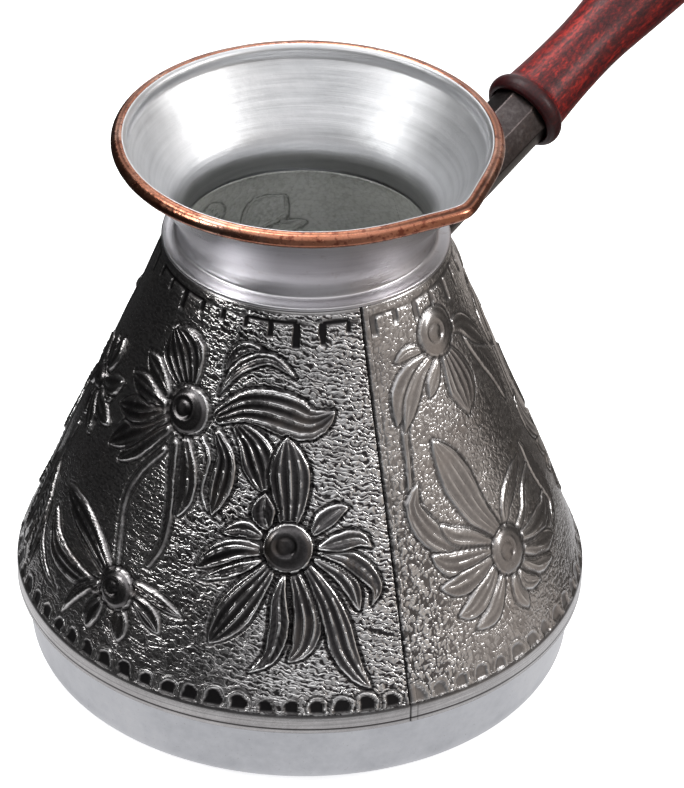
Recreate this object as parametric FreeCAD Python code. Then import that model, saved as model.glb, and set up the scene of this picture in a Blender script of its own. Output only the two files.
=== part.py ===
# Turkish coffee pot (cezve / turka): seamed conical body on a shallow pan,
# flared neck with a wired rim, brazed handle socket, bolted wooden grip with
# an eye bolt and a hanging ring.  Millimetres.
# Frame: +Z up, origin on the pot's axis at the pan's underside, +X on the
# side the handle leaves from.
import FreeCAD, Part
import math
import os

os.makedirs("parts", exist_ok=True)
V = FreeCAD.Vector

# ---------------------------------------------------------------- dimensions
PAN_BOTTOM_FLAT_R = 46.5      # flat of the pan's underside
PAN_FOOT_R = 51.5             # pan wall radius just above the bottom curve
PAN_WALL_R = 52.93            # pan wall radius inside the body's hem
PAN_WALL_TOP_Z = 17.30
PAN_T = 1.0                   # pan sheet thickness
PAN_FOOT_CURVE = 5.0

HEM_R = 54.0                  # vertical hem band at the body's lower edge
HEM_Z0, HEM_Z1 = 14.2, 17.75
BODY_T = 0.85                 # radial thickness of the body sheet
BODY_TOP_R = 26.35
BODY_TOP_Z = 88.0
# body outline between the hem and the shoulder, (radius, height)
BODY_LINE = [(53.80, 18.20), (52.25, 22.08), (49.97, 27.72), (47.05, 35.47),
             (42.84, 46.05), (37.01, 60.15), (31.20, 74.25), (26.35, 86.90)]
SEAM_AZ = (2.7, 122.7, -117.3)  # where the three body sheets meet
SEAM_GAP_DEG = 0.05

NECK_T = 0.8                  # neck sheet thickness
NECK_FOOT_R = 26.6            # foot flange of the neck, on the body's shoulder
THROAT_R = 23.8
# neck outline above the throat, (radius, height)
NECK_LINE = [(23.80, 89.60), (23.80, 91.30), (24.10, 92.80), (24.80, 94.50),
             (25.80, 96.20), (27.35, 98.40), (29.25, 101.00), (31.40, 104.00),
             (33.20, 106.60)]
SPOUT_AZ = -90.0              # pouring lip
SPOUT_OUT = 2.3               # how far the lip is drawn out
SPOUT_WIDTH_DEG = 10.5

RIM_R = 34.35                 # centre line of the rolled rim
RIM_Z = 107.95
RIM_TUBE_R = 1.50             # rolled edge, outside
RIM_BORE_R = 0.82             # rolled edge, inside
RIM_WIRE_R = 0.80             # wire inside the rolled edge

HANDLE_Z0 = 64.8              # height where the handle's line meets the pot's axis
HANDLE_TILT = 18.8            # degrees above level
SOCKET_MOUTH_S = 66.4         # socket's mouth, along the handle's line
SOCKET_IN_GRIP = 1.6          # how far the mouth stands into the grip
SOCKET_R = 6.30
SOCKET_T = 1.0
SADDLE_R = 10.2               # brazed saddle around the socket's foot
SADDLE_T = 0.9
NUT_S0, NUT_S1 = 60.4, 64.4   # threaded disc inside the socket
NUT_HOLE_R = 2.50
BOLT_R = 2.45
BOLT_START_S = 59.4

GRIP_BORE_R = 2.80
GRIP_POCKET_R = 6.62
GRIP_LEN = 112.0
# grip outline, (distance from the socket's mouth, radius)
GRIP_LINE = [(0.9, 8.02), (2.0, 8.18), (3.1, 7.85), (3.95, 7.05), (4.6, 6.92),
             (8.4, 6.66), (11.2, 6.52), (15.7, 6.36), (21.0, 6.30), (26.0, 6.50),
             (31.0, 6.95), (37.0, 7.55), (46.0, 8.35), (57.0, 9.10), (70.0, 9.55),
             (83.0, 9.45), (94.0, 8.75), (101.0, 7.85), (104.0, 7.20)]
FERRULE_R = 7.20              # brass cup on the grip's far end
FERRULE_T = 0.70
FERRULE_FROM = 104.0
HEAD_R = 5.6                  # domed head of the eye bolt
HEAD_T = 2.6
TAB_LEN = 9.0                 # flat tab on the head that holds the ring
TAB_W = 7.6
TAB_T = 2.6
EYE_R = 1.75
EYE_FROM_HEAD = 5.6           # eye's centre beyond the head's top face
RING_R = 10.0                 # hanging ring, centre line
RING_WIRE_R = 1.20


# ------------------------------------------------------------------- helpers
def turned(points, axis_pos=V(0, 0, 0), axis_dir=V(0, 0, 1), deg=360.0):
    """Solid of revolution of a closed (radius, height) outline about Z."""
    pts = [V(r, 0, z) for r, z in points]
    face = Part.Face(Part.makePolygon(pts + [pts[0]]))
    return face.revolve(axis_pos, axis_dir, deg)


def curve_face(edges):
    return Part.Face(Part.Wire(edges))


def along_handle(shape):
    """Move a shape made along +Z from the origin onto the handle's line."""
    s = shape.copy()
    s.rotate(V(0, 0, 0), V(0, 1, 0), 90.0 - HANDLE_TILT)
    s.translate(V(0, 0, HANDLE_Z0))
    return s


def on_handle(s):
    a = math.radians(HANDLE_TILT)
    return V(s * math.cos(a), 0, HANDLE_Z0 + s * math.sin(a))


def save(shape, name):
    if shape.ShapeType != "Solid":
        solids = shape.Solids
        if len(solids) != 1:
            raise ValueError("%s is %d solids" % (name, len(solids)))
        shape = solids[0]
    if not shape.isValid():
        raise ValueError(name + " is not valid")
    shape.exportStep("parts/%s.step" % name)
    print("%-20s %10.1f mm3" % (name, shape.Volume))
    return shape


# ------------------------------------------------------------------ base pan
k = math.sqrt(0.5)
c = PAN_FOOT_CURVE
ci = c - PAN_T
out_mid = V(PAN_BOTTOM_FLAT_R + c * k, 0, c - c * k)
in_mid = V(PAN_BOTTOM_FLAT_R + ci * k, 0, c - ci * k)
flange = [(PAN_WALL_R, 15.06), (53.10, 15.06), (53.10, 15.90), (PAN_WALL_R, 15.90),
          (PAN_WALL_R, PAN_WALL_TOP_Z), (PAN_WALL_R - PAN_T, PAN_WALL_TOP_Z),
          (PAN_WALL_R - PAN_T, 14.0)]
p = [V(0, 0, 0), V(PAN_BOTTOM_FLAT_R, 0, 0), V(PAN_FOOT_R, 0, c)]
edges = [Part.makeLine(p[0], p[1]), Part.Arc(p[1], out_mid, p[2]).toShape()]
last = p[2]
for r, z in [(PAN_WALL_R, 14.0)] + flange:
    edges.append(Part.makeLine(last, V(r, 0, z)))
    last = V(r, 0, z)
edges.append(Part.makeLine(last, V(PAN_FOOT_R - PAN_T, 0, c)))
edges.append(Part.Arc(V(PAN_FOOT_R - PAN_T, 0, c), in_mid, V(PAN_BOTTOM_FLAT_R, 0, PAN_T)).toShape())
edges.append(Part.makeLine(V(PAN_BOTTOM_FLAT_R, 0, PAN_T), V(0, 0, PAN_T)))
edges.append(Part.makeLine(V(0, 0, PAN_T), V(0, 0, 0)))
base_pan = curve_face(edges).revolve(V(0, 0, 0), V(0, 0, 1), 360)
base_pan = save(base_pan, "base_pan")

# --------------------------------------------------------------- body sheets
outer = [(HEM_R, HEM_Z0), (HEM_R, HEM_Z1)] + BODY_LINE + [(26.05, 87.60), (25.40, BODY_TOP_Z),
                                                         (23.40, BODY_TOP_Z)]
inner = [(23.40, 87.20), (25.00, 87.20), (25.42, 86.75)]
inner += [(r - BODY_T - 0.07, z) for r, z in reversed(BODY_LINE[:-1])]
inner += [(HEM_R - BODY_T, HEM_Z1 - 0.25), (HEM_R - BODY_T, HEM_Z0 + 0.80),
          (PAN_WALL_R + 0.05, HEM_Z0 + 0.80), (PAN_WALL_R + 0.05, HEM_Z0)]
profile = [V(r, 0, z) for r, z in outer + inner]
sheet_face = Part.Face(Part.makePolygon(profile + [profile[0]]))
panel_names = {0: "body_sheet_rear", 1: "body_sheet_front", 2: "body_sheet_spout"}
panels = {}
for i in range(3):
    start = SEAM_AZ[i] + SEAM_GAP_DEG / 2
    f = sheet_face.copy()
    f.rotate(V(0, 0, 0), V(0, 0, 1), start)
    s = f.revolve(V(0, 0, 0), V(0, 0, 1), 120.0 - SEAM_GAP_DEG)
    panels[i] = save(s, panel_names[i])


# ---------------------------------------------------------------------- neck
def lip(az_deg, height):
    """How far the pouring lip is drawn out at an azimuth and height."""
    d = (az_deg - SPOUT_AZ + 180.0) % 360.0 - 180.0
    low = NECK_LINE[2][1]
    h = max(0.0, min(1.0, (height - low) / (RIM_Z - low)))
    return SPOUT_OUT * (h ** 1.6) * math.exp(-abs(d / SPOUT_WIDTH_DEG) ** 1.6)


def ring_wire(radius, height, n=72):
    """Closed smooth wire round the pot's axis, drawn out at the lip."""
    pts = []
    for j in range(n):
        az = SPOUT_AZ + 360.0 * j / n
        r = radius + lip(az, height)
        pts.append(V(r * math.cos(math.radians(az)), r * math.sin(math.radians(az)), height))
    curve = Part.BSplineCurve()
    curve.interpolate(Points=pts, PeriodicFlag=True)
    return Part.Wire(curve.toShape())


def neck_line(count=3):
    """Neck outline with extra levels between the stated ones."""
    curve = Part.BSplineCurve()
    curve.interpolate([V(r, 0, z) for r, z in NECK_LINE[1:]])
    pts = [(NECK_FOOT_R, BODY_TOP_Z + 0.03), (NECK_FOOT_R, BODY_TOP_Z + 0.70),
           (THROAT_R + 0.7, BODY_TOP_Z + 0.90), NECK_LINE[0]]
    steps = count * (len(NECK_LINE) - 2)
    lo, hi = curve.FirstParameter, curve.LastParameter
    for j in range(steps + 1):
        q = curve.value(lo + (hi - lo) * j / steps)
        pts.append((q.x, q.z))
    return pts


line_out = neck_line()
line_in = [(THROAT_R - NECK_T, line_out[0][1])] + [(r - NECK_T, z) for r, z in line_out[4:]]
solid_out = Part.makeLoft([ring_wire(r, z) for r, z in line_out], True, True)
solid_in = Part.makeLoft([ring_wire(r, z) for r, z in line_in], True, True)
neck_funnel = save(solid_out.cut(solid_in), "neck_funnel")

# rolled rim with its wire
n = 120
path_pts = []
for j in range(n):
    az = SPOUT_AZ + 360.0 * j / n
    r = RIM_R + lip(az, RIM_Z)
    path_pts.append(V(r * math.cos(math.radians(az)), r * math.sin(math.radians(az)), RIM_Z))
path = Part.BSplineCurve()
path.interpolate(Points=path_pts, PeriodicFlag=True)
path_wire = Part.Wire(path.toShape())


def round_sweep(radius):
    u0 = path.FirstParameter
    ring = Part.Wire(Part.makeCircle(radius, path.value(u0), path.tangent(u0)[0]))
    pipe = Part.BRepOffsetAPI.MakePipeShell(path_wire)
    pipe.setBiNormalMode(V(0, 0, 1))
    pipe.add(ring)
    pipe.build()
    pipe.makeSolid()
    s = pipe.shape()
    if s.Volume < 0:
        s.reverse()
    return s


rim_wire = save(round_sweep(RIM_WIRE_R), "rim_wire")
rim_roll = save(round_sweep(RIM_TUBE_R).cut(round_sweep(RIM_BORE_R)), "rim_roll")

# ------------------------------------------------------------- handle socket
tube_end = SOCKET_MOUTH_S + SOCKET_IN_GRIP
tube = Part.makeCylinder(SOCKET_R, tube_end - 20.0, V(0, 0, 20.0))
tube = tube.cut(Part.makeCylinder(SOCKET_R - SOCKET_T, tube_end, V(0, 0, 0)))
tube = along_handle(tube)
# everything inside the body's outline is cut away; the same outline grown by
# the saddle's thickness gives the saddle
line = [(HEM_R, HEM_Z1)] + BODY_LINE
near = turned([(0, HEM_Z1)] + [(r + 0.02, z) for r, z in line] + [(0, BODY_LINE[-1][1])])
far = turned([(0, HEM_Z1)] + [(r + SADDLE_T, z) for r, z in line] + [(0, BODY_LINE[-1][1])])
core = Part.makeCylinder(SOCKET_R - SOCKET_T, 60.0, V(0, 0, 12.0))
plug = along_handle(Part.makeCylinder(SADDLE_R, 45.0, V(0, 0, 5.0)))
saddle = far.common(plug).cut(near).cut(along_handle(core))
tube = tube.cut(near)
handle_bracket = save(tube.fuse(saddle).removeSplitter(), "handle_bracket")

nut = Part.makeCylinder(SOCKET_R - SOCKET_T, NUT_S1 - NUT_S0, V(0, 0, NUT_S0))
nut = nut.cut(Part.makeCylinder(NUT_HOLE_R, 20.0, V(0, 0, NUT_S0 - 5)))
bracket_nut = save(along_handle(nut), "bracket_nut")

# ---------------------------------------------------------------------- grip
S0 = SOCKET_MOUTH_S
pocket_d = SOCKET_IN_GRIP + 0.3
grip_pts = [V(GRIP_POCKET_R, 0, S0 + 0.0), V(7.45, 0, S0 + 0.15)]
spline_pts = [V(r, 0, S0 + t) for t, r in GRIP_LINE]
bead = Part.BSplineCurve()
bead.interpolate([V(7.45, 0, S0 + 0.15)] + spline_pts[:4])
shaft = Part.BSplineCurve()
shaft.interpolate(spline_pts[3:])
end_r = FERRULE_R - FERRULE_T
face_edges = [
    Part.makeLine(V(GRIP_POCKET_R, 0, S0), V(7.45, 0, S0 + 0.15)),
    bead.toShape(),
    shaft.toShape(),
    Part.makeLine(spline_pts[-1], V(end_r, 0, S0 + FERRULE_FROM)),
    Part.makeLine(V(end_r, 0, S0 + FERRULE_FROM), V(end_r, 0, S0 + GRIP_LEN)),
    Part.makeLine(V(end_r, 0, S0 + GRIP_LEN), V(GRIP_BORE_R, 0, S0 + GRIP_LEN)),
    Part.makeLine(V(GRIP_BORE_R, 0, S0 + GRIP_LEN), V(GRIP_BORE_R, 0, S0 + pocket_d)),
    Part.makeLine(V(GRIP_BORE_R, 0, S0 + pocket_d), V(GRIP_POCKET_R, 0, S0 + pocket_d)),
    Part.makeLine(V(GRIP_POCKET_R, 0, S0 + pocket_d), V(GRIP_POCKET_R, 0, S0)),
]
grip = curve_face(face_edges).revolve(V(0, 0, 0), V(0, 0, 1), 360)
handle_grip = save(along_handle(grip), "handle_grip")

# brass cup on the far end of the grip
e = S0 + GRIP_LEN
cup = turned([(end_r, S0 + FERRULE_FROM), (FERRULE_R, S0 + FERRULE_FROM), (FERRULE_R, e),
              (FERRULE_R - 0.5, e + FERRULE_T), (GRIP_BORE_R, e + FERRULE_T),
              (GRIP_BORE_R, e), (end_r, e)])
end_ferrule = save(along_handle(cup), "end_ferrule")

# eye bolt: rod, domed head and drilled tab in one piece
h0 = e + FERRULE_T + 0.02
rod = Part.makeCylinder(BOLT_R, h0 + 0.5 - BOLT_START_S, V(0, 0, BOLT_START_S))
dome = [V(0, 0, h0), V(HEAD_R, 0, h0), V(HEAD_R, 0, h0 + 0.8)]
dome_edges = [
    Part.makeLine(dome[0], dome[1]),
    Part.makeLine(dome[1], dome[2]),
    Part.Arc(V(HEAD_R, 0, h0 + 0.8), V(HEAD_R * 0.78, 0, h0 + 1.9), V(TAB_W / 2 - 0.6, 0, h0 + HEAD_T)).toShape(),
    Part.makeLine(V(TAB_W / 2 - 0.6, 0, h0 + HEAD_T), V(0, 0, h0 + HEAD_T)),
    Part.makeLine(V(0, 0, h0 + HEAD_T), V(0, 0, h0)),
]
head = curve_face(dome_edges).revolve(V(0, 0, 0), V(0, 0, 1), 360)
eye_s = h0 + HEAD_T + EYE_FROM_HEAD
tab_box = Part.makeBox(TAB_W, TAB_T, eye_s - (h0 + 1.0), V(-TAB_W / 2, -TAB_T / 2, h0 + 1.0))
tab_round = Part.makeCylinder(TAB_W / 2, TAB_T, V(0, -TAB_T / 2, eye_s), V(0, 1, 0))
eye = Part.makeCylinder(EYE_R, 10, V(0, -5, eye_s), V(0, 1, 0))
eye_bolt = rod.fuse([head, tab_box, tab_round]).removeSplitter().cut(eye)
eye_rim = [ed for ed in eye_bolt.Edges
           if isinstance(ed.Curve, Part.Circle) and abs(ed.Curve.Radius - EYE_R) < 1e-4]
eye_bolt = eye_bolt.makeChamfer(0.35, eye_rim)
eye_bolt = save(along_handle(eye_bolt), "eye_bolt")

# ring hanging straight down from the eye
eye_c = on_handle(eye_s)
ring = Part.makeTorus(RING_R, RING_WIRE_R, V(eye_c.x, 0, eye_c.z - RING_R), V(1, 0, 0))
hanging_ring = save(ring, "hanging_ring")
print("eye centre", round(eye_c.x, 4), round(eye_c.z, 4))
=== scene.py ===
# Looks of the turkish coffee pot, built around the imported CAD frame.
# Metres, +Z up, +X towards the handle's side, pouring lip towards -Y.
import math
import bpy
import numpy as np
from mathutils import Matrix, Vector


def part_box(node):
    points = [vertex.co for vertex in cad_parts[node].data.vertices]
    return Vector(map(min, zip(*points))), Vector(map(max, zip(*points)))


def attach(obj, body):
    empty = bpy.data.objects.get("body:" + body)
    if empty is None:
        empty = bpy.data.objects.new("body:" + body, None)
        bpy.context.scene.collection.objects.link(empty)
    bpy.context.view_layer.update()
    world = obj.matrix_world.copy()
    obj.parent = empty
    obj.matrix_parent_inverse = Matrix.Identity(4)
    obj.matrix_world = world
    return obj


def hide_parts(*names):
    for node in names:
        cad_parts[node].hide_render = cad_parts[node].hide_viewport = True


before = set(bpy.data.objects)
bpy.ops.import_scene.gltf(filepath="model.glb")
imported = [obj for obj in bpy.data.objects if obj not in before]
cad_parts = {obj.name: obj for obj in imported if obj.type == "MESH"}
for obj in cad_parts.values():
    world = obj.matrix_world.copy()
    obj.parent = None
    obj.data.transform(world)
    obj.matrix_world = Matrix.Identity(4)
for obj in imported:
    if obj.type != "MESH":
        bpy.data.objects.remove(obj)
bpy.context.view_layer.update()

MM = 0.001
TAU = 2.0 * math.pi
rng = np.random.default_rng(20)


# =========================================================== dimensions (mm)
SEAMS = (-237.3, -117.3, 2.7, 122.7)      # front, spout and rear sheets lie between them
APEX_Z, CONE_K = 152.8, 0.39995           # the body's cone: radius = (APEX_Z - z) * CONE_K
SIN_A = CONE_K / math.hypot(1.0, CONE_K)
COS_A = 1.0 / math.hypot(1.0, CONE_K)
BODY_LINE = [(53.80, 18.20), (52.25, 22.08), (49.97, 27.72), (47.05, 35.47),
             (42.84, 46.05), (37.01, 60.15), (31.20, 74.25), (26.35, 86.90)]
NECK_LINE = [(23.80, 89.60), (23.80, 91.30), (24.10, 92.80), (24.80, 94.50),
             (25.80, 96.20), (27.35, 98.40), (29.25, 101.00), (31.40, 104.00),
             (33.20, 106.60)]
SPOUT_AZ, SPOUT_OUT, SPOUT_W = -90.0, 2.3, 10.5
RIM_R, RIM_Z, RIM_TUBE = 34.35, 107.95, 1.5
HANDLE_Z0, TILT = 64.8, math.radians(18.8)
MOUTH_S = 66.4
H_DIR = np.array([math.cos(TILT), 0.0, math.sin(TILT)])
H_SIDE = np.array([0.0, 1.0, 0.0])
H_UP = np.cross(H_DIR, H_SIDE) * -1.0     # the handle's own upward direction
H_UP = H_UP if H_UP[2] > 0 else -H_UP


# ============================================================ mesh utilities
VIEW_TURN = -50.0             # the view looks across the pot from azimuth -140


def outward(v, faces):
    """Positive where the closed skin's faces look outward."""
    quads = np.array([tuple(f)[:4] for f in faces if len(f) >= 4])
    p, q, r, s = (v[quads[:, k]] for k in range(4))
    return float((np.cross(p, q) * r).sum() + (np.cross(p, r) * s).sum())


def add_mesh(name, verts, faces, attrs=None, smooth=True):
    """verts in mm; faces an (n,4) array or list of index tuples."""
    me = bpy.data.meshes.new(name)
    v = np.asarray(verts, float) * MM
    if outward(v, faces) < 0:
        faces = [tuple(f)[::-1] for f in faces]
    me.from_pydata(v.tolist(), [], [tuple(int(i) for i in f) for f in faces])
    me.update()
    if attrs:
        for key, values in attrs.items():
            a = me.attributes.new(key, "FLOAT", "POINT")
            a.data.foreach_set("value", np.asarray(values, np.float32))
    if smooth:
        me.polygons.foreach_set("use_smooth", [True] * len(me.polygons))
    ob = bpy.data.objects.new(name, me)
    bpy.context.scene.collection.objects.link(ob)
    return ob


def grid_faces(rows, cols, close_rows=False, close_cols=False, offset=0):
    """Quads of a rows x cols grid of vertices stored row by row."""
    i = np.arange(rows if close_rows else rows - 1)
    j = np.arange(cols if close_cols else cols - 1)
    a, b = np.meshgrid(i, j, indexing="ij")
    a1, b1 = (a + 1) % rows, (b + 1) % cols
    f = np.stack([a * cols + b, a * cols + b1, a1 * cols + b1, a1 * cols + b], -1)
    return f.reshape(-1, 4) + offset


def catmull(points, n):
    """Smooth open curve through the points, n samples evenly spaced in length."""
    p = np.asarray(points, float)
    if len(p) == 2:
        t = np.linspace(0, 1, n)[:, None]
        return p[0] * (1 - t) + p[1] * t
    q = np.vstack([2 * p[0] - p[1], p, 2 * p[-1] - p[-2]])
    out = []
    for k in range(1, len(q) - 2):
        t = np.linspace(0, 1, 17)[:-1, None]
        a, b, c, d = q[k - 1], q[k], q[k + 1], q[k + 2]
        out.append(0.5 * ((2 * b) + (c - a) * t + (2 * a - 5 * b + 4 * c - d) * t ** 2
                          + (3 * b - a - 3 * c + d) * t ** 3))
    out = np.vstack(out + [p[-1:]])
    s = np.r_[0, np.cumsum(np.linalg.norm(np.diff(out, axis=0), axis=1))]
    u = np.linspace(0, s[-1], n)
    return np.stack([np.interp(u, s, out[:, k]) for k in range(p.shape[1])], 1)


def smoothstep(x):
    x = np.clip(x, 0.0, 1.0)
    return x * x * (3 - 2 * x)


class Waves:
    """Smooth seeded unevenness: a sum of sine waves over a plane."""

    def __init__(self, wavelength, count, seed, ndim=2):
        g = np.random.default_rng(seed)
        k = g.normal(size=(count, ndim))
        k /= np.linalg.norm(k, axis=1)[:, None]
        self.k = k * (TAU / (wavelength * g.uniform(0.7, 1.6, (count, 1))))
        self.p = g.uniform(0, TAU, count)

    def __call__(self, *coords):
        c = np.stack(coords, -1)
        return np.sin(c @ self.k.T + self.p).mean(-1) * math.sqrt(2.0)


def cell_noise(ix, iy, seed):
    """A repeatable value from 0 to 1 for each whole-numbered cell."""
    h = np.sin(ix * 127.1 + iy * 311.7 + seed * 74.7) * 43758.5453
    return h - np.floor(h)


def flare_lip(az_deg, z):
    d = (np.asarray(az_deg) - SPOUT_AZ + 180.0) % 360.0 - 180.0
    h = np.clip((z - NECK_LINE[2][1]) / (RIM_Z - NECK_LINE[2][1]), 0.0, 1.0)
    return SPOUT_OUT * h ** 1.6 * np.exp(-np.abs(d / SPOUT_W) ** 1.6)


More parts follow.
